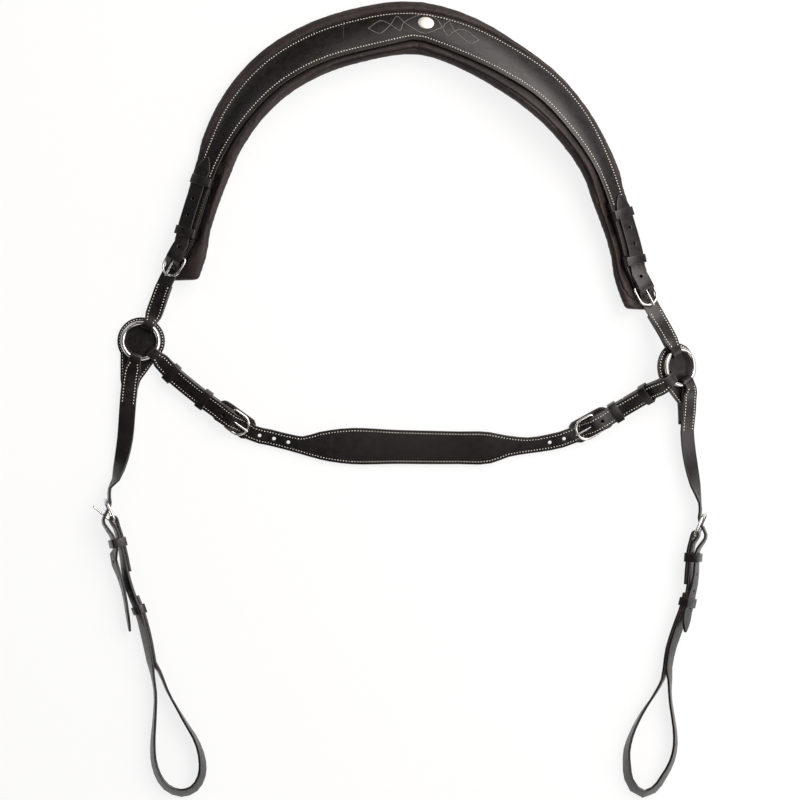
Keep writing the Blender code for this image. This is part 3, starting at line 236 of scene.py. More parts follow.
def add(tree, kind, links=None, **settings):
    """Adds a node: each of its inputs in links gets a value, a socket, or the first output of a node.

    The colours of a Mix node are its inputs 6 and 7, and the mixed colour is its output 2.
    """
    node = tree.nodes.new("ShaderNode" + kind)
    for key, value in settings.items():
        setattr(node, key, value)
    for key, value in (links or {}).items():
        if isinstance(value, bpy.types.Node):
            value = value.outputs[0]
        if isinstance(value, bpy.types.NodeSocket):
            tree.links.new(value, node.inputs[key])
        else:
            node.inputs[key].default_value = value
    return node


def new_material(name):
    """An empty material, its node tree and the coordinates on the object."""
    material = bpy.data.materials.new(name)
    material.use_nodes = True
    tree = material.node_tree
    tree.nodes.clear()
    return material, tree, add(tree, "TexCoord").outputs["Object"]


def finished(material, kind, links):
    """The material with its last shader, of that kind, on its surface."""
    tree = material.node_tree
    add(tree, "OutputMaterial", {"Surface": add(tree, kind, links)})
    return material


def uneven_colour(tree, patterns, limits, colours):
    """Colour that goes from the first to the second as the product of two patterns passes the limits."""
    mixed = add(tree, "Math", {0: patterns[0], 1: patterns[1]}, operation="MULTIPLY")
    tone = add(tree, "MapRange", {"Value": mixed, "From Min": limits[0], "From Max": limits[1]})
    mix = add(tree, "Mix", {0: tone, 6: linear(colours[0]), 7: linear(colours[1])}, data_type="RGBA")
    return mix.outputs[2]


def bridle_leather(name, colours):
    """Bridle leather, curried with wax and dyed dark brown: close grain, satin gloss, slightly uneven dye."""
    material, tree, place = new_material(name)
    # Uneven dye and rubbed areas, 50 mm and 7 mm across.
    broad = add(tree, "TexNoise", {"Vector": place, "Scale": 1 / 0.050, "Detail": 3.0, "Roughness": 0.55})
    mottle = add(tree, "TexNoise", {"Vector": place, "Scale": 1 / 0.007, "Detail": 4.0, "Roughness": 0.6})
    colour = uneven_colour(tree, (broad, mottle), (0.16, 0.36), (colours.leather, colours.leather_warm))
    # Hair cells about 1.1 mm apart, coarser than real ones so that they show, their places shifted unevenly.
    warp = add(tree, "TexNoise", {"Vector": place, "Scale": 1 / 0.003, "Detail": 2.0})
    warped = add(tree, "VectorMath", {
        0: warp.outputs["Color"], 1: (1.2 * MM, 1.2 * MM, 1.2 * MM)}, operation="MULTIPLY")
    moved = add(tree, "VectorMath", {0: place, 1: warped}, operation="ADD")
    cells = add(tree, "TexVoronoi", {"Vector": moved, "Scale": 1 / 0.0011}, feature="DISTANCE_TO_EDGE")
    pores = add(tree, "MapRange", {"Value": cells, "From Min": 0.0, "From Max": 0.22})
    scuffs = add(tree, "TexNoise", {"Vector": place, "Scale": 1 / 0.0022, "Detail": 5.0})
    height = add(tree, "Math", {0: pores, 1: scuffs}, operation="ADD")
    bump = add(tree, "Bump", {"Height": height, "Strength": 0.22, "Distance": 0.00012})
    gloss = add(tree, "MapRange", {"Value": mottle, **NOISE_SPAN, "To Min": 0.3, "To Max": 0.42})
    # A fine crease across the breast leather left of the badge, where the finish has lightened.
    axes = add(tree, "SeparateXYZ", {0: place})
    beside = add(tree, "Math", {0: axes.outputs["X"], 1: CREASE_PLACE, 2: CREASE_HALF}, operation="COMPARE")
    above = add(tree, "Math", {0: axes.outputs["Y"], 1: CREASE_END}, operation="GREATER_THAN")
    crease = add(tree, "Math", {0: beside, 1: above}, operation="MULTIPLY")
    creased = add(tree, "Mix", {0: crease, 6: colour, 7: linear("#3d3530")}, data_type="RGBA")
    return finished(material, "BsdfPrincipled", {
        "Base Color": creased.outputs[2], "Roughness": gloss, "IOR": 1.45, "Coat Weight": 0.05,
        "Coat Roughness": 0.25, "Normal": bump})


def edge_wear_and_highlight(name, colours):
    """Cut edge of the strap, dyed and rubbed smooth with wax: glossier and lighter than the grain side; the
    lighter colour is partly a painted highlight of the light that the rounded edges catch.
    """
    material, tree, place = new_material(name)
    # Fibre layers show as streaks about 1.5 mm long.
    fibre = add(tree, "TexNoise", {"Vector": place, "Scale": 1 / 0.0015, "Detail": 4.0, "Roughness": 0.65})
    worn = add(tree, "TexNoise", {"Vector": place, "Scale": 1 / 0.018, "Detail": 3.0})
    # Painted highlight: the edge colour, lighter than the grain, partly stands in for the light that the
    # rounded edges catch.
    colour = uneven_colour(tree, (fibre, worn), (0.16, 0.36), (colours.leather, colours.edge))
    bump = add(tree, "Bump", {"Height": fibre, "Strength": 0.2, "Distance": 0.0001})
    gloss = add(tree, "MapRange", {"Value": worn, **NOISE_SPAN, "To Min": 0.24, "To Max": 0.4})
    return finished(material, "BsdfPrincipled", {
        "Base Color": colour, "Roughness": gloss, "IOR": 1.5, "Coat Weight": 0.25, "Coat Roughness": 0.18,
        "Normal": bump})


def pad_leather(name, colours):
    """Soft chrome-tanned cover of the pad: pebbled grain, matt, lighter where the stuffing stretches it, with
    painted shade in the groove beside the leather and along its seams.
    """
    material, tree, place = new_material(name)
    broad = add(tree, "TexNoise", {"Vector": place, "Scale": 1 / 0.035, "Detail": 3.0})
    fine = add(tree, "TexNoise", {"Vector": place, "Scale": 1 / 0.004, "Detail": 4.0, "Roughness": 0.6})
    stretched = uneven_colour(tree, (broad, fine), (0.16, 0.38), (colours.pad, colours.pad_light))
    # Distances from the breast leather and from the seam, in mm. Painted shade: the groove beside the leather
    # and the seam on the inner roll are painted nearly black, as the shade that falls in these recesses.
    reach, off_seam, fade, cross_seam = (
        add(tree, "Attribute", attribute_name=measure).outputs["Fac"]
        for measure in ("reach", "off_seam", "seam_fade", "cross_seam"))
    groove = add(tree, "MapRange", {
        "Value": reach, "From Min": 1.5, "From Max": 2.6, "To Min": 1.0, "To Max": 0.0})
    beside = add(tree, "Math", {0: off_seam}, operation="ABSOLUTE")
    band = add(tree, "MapRange", {
        "Value": beside, "From Min": 0.4, "From Max": 1.5, "To Min": 0.9, "To Max": 0.0})
    seam = add(tree, "Math", {0: band, 1: fade}, operation="MULTIPLY")
    seam_shade = add(tree, "Math", {0: seam, 1: cross_seam}, operation="MAXIMUM")
    dark = add(tree, "Math", {0: groove, 1: seam_shade}, operation="MAXIMUM")
    # Painted shade: the groove and the seams are mixed towards near black.
    colour = add(tree, "Mix", {0: dark, 6: stretched, 7: linear("#0a0706")}, data_type="RGBA")
    # Pebbles about 1.4 mm across.
    cells = add(tree, "TexVoronoi", {"Vector": place, "Scale": 1 / 0.0014}, feature="SMOOTH_F1")
    height = add(tree, "Math", {0: cells, 1: fine}, operation="SUBTRACT")
    bump = add(tree, "Bump", {"Height": height, "Strength": 0.3, "Distance": 0.00016})
    gloss = add(tree, "MapRange", {"Value": fine, **NOISE_SPAN, "To Min": 0.46, "To Max": 0.6})
    # The seam draws the cover in by half a millimetre.
    drawn_in = add(tree, "Bump", {"Height": seam_shade, "Strength": 0.8, "Distance": -0.0005, "Normal": bump})
    matt = add(tree, "Math", {0: dark, 1: gloss}, operation="MAXIMUM")
    return finished(material, "BsdfPrincipled", {
        "Base Color": colour.outputs[2], "Roughness": matt, "IOR": 1.45, "Specular IOR Level": 0.36,
        "Normal": drawn_in})


def sewing_thread(name, colours):
    """Waxed linen sewing thread: matt, slightly soiled, its strands too fine to show but as streaks."""
    material, tree, place = new_material(name)
    soil = add(tree, "TexNoise", {"Vector": place, "Scale": 1 / 0.012, "Detail": 3.0})
    strand = add(tree, "TexNoise", {"Vector": place, "Scale": 1 / 0.0005, "Detail": 3.0})
    tone = add(tree, "MapRange", {
        "Value": soil, "From Min": 0.35, "From Max": 0.7, "To Min": 0.0, "To Max": 0.45})
    base = linear({"linen_thread_cream": colours.thread, "linen_thread_dark": colours.thread_dark,
                   "linen_thread_grey": colours.thread_fancy}[name])
    soiled = [c * 0.55 for c in base[:3]] + [1.0]
    colour = add(tree, "Mix", {0: tone, 6: base, 7: soiled}, data_type="RGBA")
    bump = add(tree, "Bump", {"Height": strand, "Strength": 0.4, "Distance": 0.00008})
    gloss = add(tree, "MapRange", {"Value": strand, "To Min": 0.5, "To Max": 0.8})
    return finished(material, "BsdfPrincipled", {
        "Base Color": colour.outputs[2], "Roughness": gloss, "IOR": 1.5, "Normal": bump})


def polished_steel(name, colours):
    """Stainless steel wire, drawn, bent and tumbled bright: a polish with faint hairlines and rub marks."""
    material, tree, place = new_material(name)
    stretched = add(tree, "Mapping", {"Vector": place, "Scale": (1.0, 0.25, 1.0)})
    lines = add(tree, "TexNoise", {"Vector": stretched, "Scale": 1 / 0.0006, "Detail": 3.0})
    rub = add(tree, "TexNoise", {"Vector": place, "Scale": 1 / 0.006, "Detail": 4.0})
    gloss = add(tree, "MapRange", {"Value": rub, **NOISE_SPAN, "To Min": 0.16, "To Max": 0.24})
    tone = add(tree, "MapRange", {"Value": rub, "From Min": 0.3, "From Max": 0.75})
    base = linear(colours.steel)
    dulled = [c * 0.92 for c in base[:3]] + [1.0]
    colour = add(tree, "Mix", {0: tone, 6: base, 7: dulled}, data_type="RGBA")
    bump = add(tree, "Bump", {"Height": lines, "Strength": 0.04, "Distance": 0.00003})
    return finished(material, "BsdfPrincipled", {
        "Base Color": colour.outputs[2], "Metallic": 1.0, "Roughness": gloss, "Normal": bump})


def badge_metal(name, colours):
    """Nickel-plated badge, pressed and polished: almost white, with a soft brushed bloom."""
    material, tree, place = new_material(name)
    bloom = add(tree, "TexNoise", {"Vector": place, "Scale": 1 / 0.004, "Detail": 4.0})
    lines = add(tree, "TexNoise", {"Vector": place, "Scale": 1 / 0.0005, "Detail": 2.0})
    gloss = add(tree, "MapRange", {"Value": bloom, **NOISE_SPAN, "To Min": 0.55, "To Max": 0.62})
    tone = add(tree, "MapRange", {"Value": bloom, "From Min": 0.35, "From Max": 0.75})
    colour = add(tree, "Mix", {0: tone, 6: linear(colours.badge), 7: linear("#ebe6dc")}, data_type="RGBA")
    bump = add(tree, "Bump", {"Height": lines, "Strength": 0.05, "Distance": 0.00004})
    return finished(material, "BsdfPrincipled", {
        "Base Color": colour.outputs[2], "Metallic": 1.0, "Roughness": gloss, "Normal": bump})


def finish_of(name):
    """The material of that name, made at its first use."""
    makers = {
        "bridle_leather_waxed": bridle_leather,
        "bridle_leather_burnished_edge": edge_wear_and_highlight,
        "pad_leather_soft": pad_leather,
        "linen_thread_cream": sewing_thread,
        "linen_thread_dark": sewing_thread,
        "linen_thread_grey": sewing_thread,
        "stainless_steel_polished": polished_steel,
        "badge_nickel_polished": badge_metal,
    }
    return bpy.data.materials.get(name) or makers[name](name, bpy.context.scene.breastplate_colours)


def deselect():
    for other in list(bpy.context.selected_objects):
        other.select_set(False)


def select_only(piece):
    deselect()
    bpy.context.view_layer.objects.active = piece
    piece.select_set(True)


def in_edit_mode(piece, *steps):
    """Runs each operator with its settings on the whole mesh of the piece."""
    select_only(piece)
    bpy.ops.object.mode_set(mode="EDIT")
    bpy.ops.mesh.select_all(action="SELECT")
    for operator, settings in steps:
        operator(**settings)
    bpy.ops.object.mode_set(mode="OBJECT")


def points_of(mesh):
    """The places of a mesh's points, as one array."""
    return np.array([vertex.co[:] for vertex in mesh.vertices])


def move_points(mesh, points):
    """Puts the points of a mesh at new places."""
    mesh.vertices.foreach_set("co", points.astype(np.float32).ravel())
    mesh.update()


def in_scene(name, data):
    """A new object of that name in the scene."""
    piece = bpy.data.objects.new(name, data)
    bpy.context.scene.collection.objects.link(piece)
    return piece


def apply_modifier(piece, kind, **settings):
    """Adds a modifier with its settings and applies it."""
    select_only(piece)
    modifier = piece.modifiers.new(kind.lower(), kind)
    for key, value in settings.items():
        setattr(modifier, key, value)
    bpy.ops.object.modifier_apply(modifier=modifier.name)


def cad_copy(node, name, quads=True):
    """Own copy of a solid's mesh, its loose triangles merged to one skin."""
    piece = in_scene(name, frame["nodes"][node].data.copy())
    piece.data.materials.clear()
    select_only(piece)
    bpy.ops.mesh.customdata_custom_splitnormals_clear()
    steps = [(bpy.ops.mesh.remove_doubles, {"threshold": SAME_POINT})]
    if quads:
        flat = {"face_threshold": math.radians(25), "shape_threshold": math.radians(60)}
        steps.append((bpy.ops.mesh.tris_convert_to_quads, flat))
    in_edit_mode(piece, *steps)
    return piece


def smooth_by_angle(piece, degrees):
    select_only(piece)
    bpy.ops.object.shade_smooth_by_angle(angle=math.radians(degrees))


def mount(piece, node):
    """The piece stands for its node, whose solid is hidden, and moves as the node does."""
    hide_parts(node)
    place_on_body(piece, node)


def place_on_body(piece, node):
    """The piece moves with the node's body. A wither chape is attached to no body, its place baked into its
    mesh.
    """
    if node.startswith("wither_chape_"):
        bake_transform(piece)
    else:
        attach(piece, BODY_OF[node])


def dressed_leather(node, rounding):
    """Leather piece from its solid: edges rounded and burnished, with a partly painted highlight, grain side
    left satin.
    """
    piece = cad_copy(node, f"{node}_leather")
    piece.data.materials.append(finish_of("bridle_leather_waxed"))
    piece.data.materials.append(finish_of("bridle_leather_burnished_edge"))
    # The rounded edge faces take the second slot, the edge finish with its partly painted highlight.
    apply_modifier(piece, "BEVEL", width=rounding, segments=3, limit_method="ANGLE", profile=0.6, material=1,
                   angle_limit=math.radians(48), use_clamp_overlap=False, miter_outer="MITER_SHARP")
    if node == "breast_strap":
        BreastCrown(bpy.context.scene.breastplate_sizes.crown).raise_mesh(piece)
    smooth_by_angle(piece, 40)
    mount(piece, node)
    return piece


class BreastCrown:
    """The raised middle of the breast leather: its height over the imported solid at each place."""

    def __init__(self, height):
        self.height = height
        area, rims, tree = charts_of("breast_strap")[0]
        outline = []
        for rim in rims:
            for i, (corner, normal) in enumerate(rim):
                ahead = rim[(i + 1) % len(rim)][0]
                count = max(1, int((ahead - corner).length / (1.5 * MM)))
                outline += [corner.lerp(ahead, j / count) for j in range(count)]
        self.finder = KDTree(len(outline))
        for i, point in enumerate(outline):
            self.finder.insert((point.x, point.y, 0.0), i)
        self.finder.balance()
        # Half the leather's width at each turn of the arch, from the rim's distances to the arch's middle.
        spans = {}
        for point in outline:
            spans.setdefault(self.turn(point), []).append(math.dist(point[:2], ARCH_CENTRE))
        self.halves = {turn: (max(reaches) - min(reaches)) / 2 for turn, reaches in spans.items()}

    def turn(self, point):
        """Number of the 3 degree slice of the arch that the place lies in."""
        return round(math.degrees(math.atan2(point[1] - ARCH_CENTRE[1], point[0] - ARCH_CENTRE[0])) / 3)

    def at(self, point):
        """Height of the crown over the place, nothing along the rims and near the buckles."""
        turn = self.turn(point)
        near_halves = [self.halves[k] for k in range(turn - 2, turn + 3) if k in self.halves]
        if not near_halves:
            return 0.0
        half = sum(near_halves) / len(near_halves)
        inside = min(1.0, self.finder.find((point[0], point[1], 0.0))[2] / max(half, 1e-6))
        clear = min(math.dist(point[:2], bar) for bar in BREAST_BARS)
        share = min(1.0, max(0.0, (clear - CROWN_START) / CROWN_RISE))
        return self.height * (1 - (1 - inside) ** 2) * share * share * (3 - 2 * share)

    def raise_mesh(self, piece):
        """Lifts the points on the grain side."""
        mesh = piece.data
        mesh.update()
        for vertex in mesh.vertices:
            if vertex.normal.z > FACING:
                vertex.co.z += self.at(vertex.co)
        mesh.update()


def skin(nodes):
    """One search tree over the triangles of several solids."""
    points = []
    faces = []
    for node in nodes:
        mesh = frame["nodes"][node].data
        base = len(points)
        points += [v.co[:] for v in mesh.vertices]
        faces += [[base + i for i in polygon.vertices] for polygon in mesh.polygons]
    return BVHTree.FromPolygons(points, faces)


def stuffed_pad(sizes):
    """The breast pad: its solid is remeshed, swelled by pressure like stuffed leather, seamed and creased."""
    pad = cad_copy("breast_pad", "breast_pad_stuffed", quads=False)
    apply_modifier(pad, "REMESH", mode="VOXEL", voxel_size=sizes.pad_voxel, adaptivity=0.0)
    apply_modifier(pad, "SMOOTH", factor=0.5, iterations=2)
    others = skin([node for node in frame["nodes"] if node != "breast_pad"])
    start = points_of(pad.data)
    swelled = start.copy()
    select_only(pad)
    cloth = pad.modifiers.new("stuffing", "CLOTH")
    for key, value in STUFFING.items():
        setattr(cloth.settings, key, value)
    cloth.settings.effector_weights.gravity = 0.0
    cloth.collision_settings.use_collision = False
    cloth.point_cache.frame_start = 1
    cloth.point_cache.frame_end = STUFFING_STEPS
    for number in range(1, STUFFING_STEPS + 1):
        bpy.context.scene.frame_set(number)
    swelled = points_of(pad.evaluated_get(bpy.context.evaluated_depsgraph_get()).data)
    pad.modifiers.remove(cloth)
    bpy.context.scene.frame_set(1)
    moves = swelled - start
    far = np.linalg.norm(moves, axis=1)
    room = np.empty(len(start))
    for i, point in enumerate(start):
        distance = others.find_nearest(Vector(point), FAR)[3]
        room[i] = FAR if distance is None else distance
    cap = np.clip(room - PAD_CLEARANCE, 0.0, sizes.pad_swell)
    moves *= np.minimum(1.0, cap / np.maximum(far, 1e-9))[:, None]
    stuffed = start + moves
    stuffed[:, 2] = np.maximum(stuffed[:, 2], CAD_BOX[0][2])
    move_points(pad.data, stuffed)
    apply_modifier(pad, "SUBSURF", levels=1, render_levels=1)
    crease_pad(pad.data, sizes, skin(["breast_strap"]), others)
    clear_of_runners(pad.data)
    pad.data.materials.append(finish_of("pad_leather_soft"))
    select_only(pad)
    bpy.ops.object.shade_smooth()
    mount(pad, "breast_pad")
    return pad


def crease_pad(mesh, sizes, leather, others):
    """Presses the seam and small puckers into the pad, and notes each point's distances for the painted shade
    in its finish.
    """
    mesh.update()
    normals = np.array([v.normal[:] for v in mesh.vertices])
    points = points_of(mesh)
    reaches = np.full(len(points), LEATHER_REACH)
    outward = np.zeros((len(points), 2))
    for i, point in enumerate(points):
        spot, normal, index, distance = leather.find_nearest(Vector(point), LEATHER_REACH)
        if spot is not None:
            reaches[i] = distance
            outward[i] = point[:2] - np.array(spot[:2])
    to_neck = np.array(ARCH_CENTRE) - points[:, :2]
    inner = (outward * to_neck).sum(axis=1) > 0
    width = np.linalg.norm(outward, axis=1) * inner
    # The inner roll's width, taken from the widest point of each slice of the arch and evened out.
    slices = ((np.arctan2(-to_neck[:, 1], -to_neck[:, 0]) + math.pi) / math.radians(1.5)).astype(int)
    widest = np.zeros(slices.max() + 1)
    np.maximum.at(widest, slices, width)
    evened = np.convolve(np.pad(widest, 3, mode="edge"), np.ones(7) / 7, mode="valid")
    off_seam = np.where(inner & (normals[:, 2] > -FACING), width - evened[slices] * sizes.pad_seam, 50 * MM)
    # The seam shows from the top of the arch down its right limb.
    fade = np.clip((points[:, 0] - SEAM_START) / SEAM_RISE, 0.0, 1.0)
    for i, point in enumerate(points):
        spot = Vector(point)
        line = math.exp(-(off_seam[i] / SEAM_HALF) ** 2) * fade[i]
        # Puckers about 6 mm long, and smaller ones of 2.4 mm.
        pucker = noise.noise(spot * 170) * 0.5 + noise.noise(spot * 420) * 0.3
        # Close to another piece the cover lies flat.
        distance = others.find_nearest(spot, 4 * MM)[3]
        clear = 1.0 if distance is None else min(1.0, distance / (4 * MM))
        points[i] -= normals[i] * (SEAM_DEPTH * line + PUCKER_DEPTH * max(0.0, pucker) * clear)
    points[:, 2] = np.maximum(points[:, 2], CAD_BOX[0][2])
    # A short seam joins the two halves of the cover across the inner roll, beneath the badge; its line gets
    # painted shade.
    across = np.clip(1.6 - np.abs(points[:, 0] - PAD_JOIN[0]) / (0.7 * MM), 0.0, 1.0)
    across *= inner * (reaches > 1.5 * MM) * (off_seam < 0)
    across *= np.abs(points[:, 1] - PAD_JOIN[1]) < JOIN_REACH
    # Beside the leather's outer edge the pad rises at once, and its groove is shallow, so its painted shade
    # is weaker there.
    groove_shade_reach = np.where(inner, reaches, reaches + 0.9 * MM)
    measures = {"reach": groove_shade_reach / MM, "off_seam": off_seam / MM, "seam_fade": fade, "cross_seam": across}
    for name, values in measures.items():
        attribute = mesh.attributes.new(name, "FLOAT", "POINT")
        attribute.data.foreach_set("value", values.astype(np.float32))
    move_points(mesh, points)


def clear_of_runners(mesh):
    """Lays the pad's cover back on its solid where the breast runners slide over it."""
    points = points_of(mesh)
    solid = skin(["breast_pad"])
    joints = {joint["name"]: joint for joint in frame["record"]["behaviour"]["joints"]}
    for side in SIDES:
        joint = joints[f"breast_runner_{side}_slide"]
        low, high = joint["range_m"]
        axis = np.array(Vector(joint["axis"]).normalized())
        corners = np.array([corner[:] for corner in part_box(f"breast_runner_{side}")])
        away = points - corners.mean(axis=0)
        along = away @ axis
        beside = np.linalg.norm(away - along[:, None] * axis, axis=1)
        past_end = np.maximum(low - along, along - high)
        share = np.clip((BESIDE_PATH - beside) / PATH_BLEND, 0.0, 1.0)
        share *= np.clip((BEYOND_PATH - past_end) / PATH_BLEND, 0.0, 1.0)
        for i in np.flatnonzero(share):
            point = Vector(points[i])
            spot, normal, index, distance = solid.find_nearest(point)
            seat = spot - normal * SUNK
            if (point - seat).dot(normal) > 0:
                points[i] = point.lerp(seat, share[i])
    move_points(mesh, points)


def welded_ring(side, sizes):
    """Ring of round wire with a slight swelling where its ends are welded."""
    centre, axis = RING_CENTRES[side]
    turn = Vector((0, 0, 1)).rotation_difference(Vector(axis)).to_euler()
    deselect()
    bpy.ops.mesh.primitive_torus_add(
        location=centre, rotation=turn, major_radius=sizes.ring_radius, minor_radius=sizes.ring_wire / 2,
        major_segments=120, minor_segments=24)
    ring = bpy.context.active_object
    ring.name = f"ring_{side}_welded"
    bpy.ops.object.mode_set(mode="EDIT")
    bpy.ops.mesh.select_all(action="DESELECT")
    bpy.ops.object.mode_set(mode="OBJECT")
    # The weld lies beneath the fold of the girth strap, a band about 2 mm wide.
    for vertex in ring.data.vertices:
        x, y, z = vertex.co
        vertex.select = y < 0 and abs(x) < 1.1 * MM
    bpy.ops.object.mode_set(mode="EDIT")
    bpy.ops.transform.shrink_fatten(value=0.08 * MM)
    bpy.ops.object.mode_set(mode="OBJECT")
    bpy.ops.object.transform_apply(location=True, rotation=True, scale=True)
    ring.data.materials.append(finish_of("stainless_steel_polished"))
    bpy.ops.object.shade_smooth()
    mount(ring, f"ring_{side}")
    return ring


def fine_metal(node):
    """Buckle frame or prong: its faceted wire is rounded."""
    piece = cad_copy(node, f"{node}_steel")
    apply_modifier(piece, "SUBSURF", levels=2, render_levels=2)
    piece.data.materials.append(finish_of("stainless_steel_polished"))
    select_only(piece)
    bpy.ops.object.shade_smooth()
    mount(piece, node)
    return piece


def smooth_badge():
    """Oval badge, plain domed face with a soft rim; its engraving is left out."""
    piece = cad_copy("badge", "badge_plain")
    apply_modifier(piece, "SUBSURF", levels=2, render_levels=2)
    # It sits on the leather's raised middle.
    middle = sum((vertex.co for vertex in piece.data.vertices), Vector()) / len(piece.data.vertices)
    lift = BreastCrown(bpy.context.scene.breastplate_sizes.crown).at(middle) - 0.1 * MM
    in_edit_mode(piece, (bpy.ops.transform.translate, {"value": (0.0, 0.0, max(0.0, lift))}))
    piece.data.materials.append(finish_of("badge_nickel_polished"))
    smooth_by_angle(piece, 50)
    mount(piece, "badge")
    return piece


def charts_of(node, angle=50.0):
    """Smooth areas of a solid, each with its faces and its rims walked in the faces' own direction."""
    shape = bmesh.new()
    shape.from_mesh(frame["nodes"][node].data)
    bmesh.ops.remove_doubles(shape, verts=shape.verts, dist=SAME_POINT)
    shape.faces.ensure_lookup_table()
    shape.verts.ensure_lookup_table()
    limit = math.cos(math.radians(angle))
    owner = {}
    charts = []
    for face in shape.faces:
        if face.index in owner:
            continue
        number = len(charts)
        owner[face.index] = number
        members = [face]
        stack = [face]
        while stack:
            near = stack.pop()
            for edge in near.edges:
                for other in edge.link_faces:
                    if other.index not in owner and other.normal.dot(near.normal) > limit:
                        owner[other.index] = number
                        members.append(other)
                        stack.append(other)
        charts.append(members)
    result = []
    for number, members in enumerate(charts):
        area = sum(face.calc_area() for face in members)
        follow = {}
        for face in members:
            for loop in face.loops:
                if all(owner[other.index] == number for other in loop.edge.link_faces):
                    continue
                follow[loop.vert.index] = (loop.link_loop_next.vert.index, face.normal.copy())
        rims = []
        left = set(follow)
        while left:
            first = current = next(iter(left))
            rim = []
            while current in left:
                left.discard(current)
                ahead, normal = follow[current]
                rim.append((shape.verts[current].co.copy(), normal))
                current = ahead
            if current == first and len(rim) > 2:
                rims.append(rim)
        tree = BVHTree.FromPolygons([v.co[:] for v in shape.verts],
                                    [[v.index for v in face.verts] for face in members])
        result.append((area, rims, tree))
    shape.free()
    return sorted(result, key=lambda chart: -chart[0])


def inset_runs(rim, tree, inset):
    """Lines on the chart at one distance inside its rim: points, surface normals and the way inwards."""
    corners = np.array([co[:] for co, normal in rim])
    normals = np.array([normal[:] for co, normal in rim])
    ahead = np.roll(corners, -1, axis=0) - corners
    lengths = np.linalg.norm(ahead, axis=1)
    inward = np.cross(normals, ahead / np.maximum(lengths, 1e-9)[:, None])
    at_corner = inward + np.roll(inward, 1, axis=0)
    at_corner /= np.maximum(np.linalg.norm(at_corner, axis=1), 1e-9)[:, None]
    rim_points = []
    for i in range(len(corners)):
        k = (i + 1) % len(corners)
        count = max(1, int(math.ceil(lengths[i] / (0.5 * MM))))
        for j in range(count):
            u = j / count
            direction = at_corner[i] * (1 - u) + at_corner[k] * u
            direction /= max(np.linalg.norm(direction), 1e-9)
            rim_points.append((corners[i] + ahead[i] * u, direction))
    finder = KDTree(len(rim_points))
    for i, (point, direction) in enumerate(rim_points):
        finder.insert(Vector(point), i)
    finder.balance()
    runs = []
    run = []
    for point, direction in rim_points:
        spot, normal, index, distance = tree.find_nearest(Vector(point + direction * inset))
        # The place is dropped where it left the chart or came nearer to another part of the rim.
        if distance < 0.8 * MM and finder.find(spot)[2] > inset * 0.94:
            run.append((np.array(spot), np.array(normal), direction))
        elif run:
            runs.append(run)
            run = []
    if run:
        # The last run goes on in the first one where the rim closes.
        if runs and np.linalg.norm(run[-1][0] - runs[0][0][0]) < 2 * MM:
            runs[0] = run + runs[0]
        else:
            runs.append(run)
    return [run for run in runs if len(run) > 4]


def spaced(run, pitch):
    """Places along a run at the pitch, each with its direction and surface normal."""
    points, normals = (np.array([item[part] for item in run]) for part in (0, 1))
    steps = np.linalg.norm(np.diff(points, axis=0), axis=1)
    travel = np.concatenate([[0.0], np.cumsum(steps)])
    total = travel[-1]
    count = int(total / pitch)

    def point_at(distance):
        return np.array([np.interp(distance, travel, points[:, axis]) for axis in range(3)])

    places = []
    for k in range(count):
        at = (k + 0.5) * total / count
        normal = normals[min(int(np.searchsorted(travel, at)), len(normals) - 1)]
        direction = point_at(min(at + 1.2 * MM, total)) - point_at(max(at - 1.2 * MM, 0.0))
        direction -= normal * float(direction @ normal)
        size = np.linalg.norm(direction)
        if size > 1e-7:
            places.append((point_at(at), direction / size, normal))
    return places


def stitch_form(length, width):
    """One stitch, a short plump bead of thread: its points and its few faces."""
    rings = ((-0.5, 0.35), (-0.30, 0.92), (0.0, 1.0), (0.30, 0.92), (0.5, 0.35))
    sides = 6
    points = []
    for along, share in rings:
        for j in range(sides):
            turn = 2 * math.pi * j / sides
            points.append((along * length, math.cos(turn) * width / 2 * share,
                           math.sin(turn) * width * 0.42 * share))
    faces = []
    for i in range(len(rings) - 1):
        for j in range(sides):
            k = (j + 1) % sides
            faces.append((i * sides + j, i * sides + k, (i + 1) * sides + k, (i + 1) * sides + j))
    faces.append(tuple(range(sides))[::-1])
    faces.append(tuple((len(rings) - 1) * sides + j for j in range(sides)))
    return np.array(points), faces


def sewn(name, places, material, length, width, slant=9.0, lift=THREAD_LIFT):
    """One thread piece: the stitch form copied to each place, slanted in degrees as saddle stitches are."""
    form, form_faces = stitch_form(length, width)
    points = []
    faces = []
    angle = math.radians(slant)
    for number, (here, direction, normal) in enumerate(places):
        side = np.cross(normal, direction)
        along = direction * math.cos(angle) + side * math.sin(angle)
        across = np.cross(normal, along)
        base = len(points)
        # Stitches pulled by hand: their lengths differ by up to 7 percent.
        uneven = 1.0 + 0.07 * math.sin(number * 2.399)
        for x, y, z in form:
            points.append(here + along * x * uneven + across * y + normal * (z + lift))
        faces += [[base + i for i in face] for face in form_faces]
    mesh = bpy.data.meshes.new(name)
    mesh.from_pydata([tuple(p) for p in points], [], faces)
    piece = in_scene(name, mesh)
    mesh.materials.append(finish_of(material))
    in_edit_mode(piece, (bpy.ops.mesh.normals_make_consistent, {"inside": False}))
    bpy.ops.object.shade_smooth()
    return piece


def rows_on(node, inset, pitch, keep):
    """Stitch places along the edges of a strap where keep says so, on its grain side and its flesh side."""
    places = []
    for area, rims, tree in charts_of(node)[:2]:
        for rim in rims:
            if sum((rim[i][0] - rim[i - 1][0]).length for i in range(len(rim))) < SHORTEST_RIM:
                continue
            for run in inset_runs(rim, tree, inset):
                stretches = [[]]
                for point, normal, inward in run:
                    if keep(point, normal, inward):
                        stretches[-1].append((point, normal))
                    elif stretches[-1]:
                        stretches.append([])
                for stretch in stretches:
                    if len(stretch) >= FEWEST:
                        places += spaced(stretch, pitch)
    return places


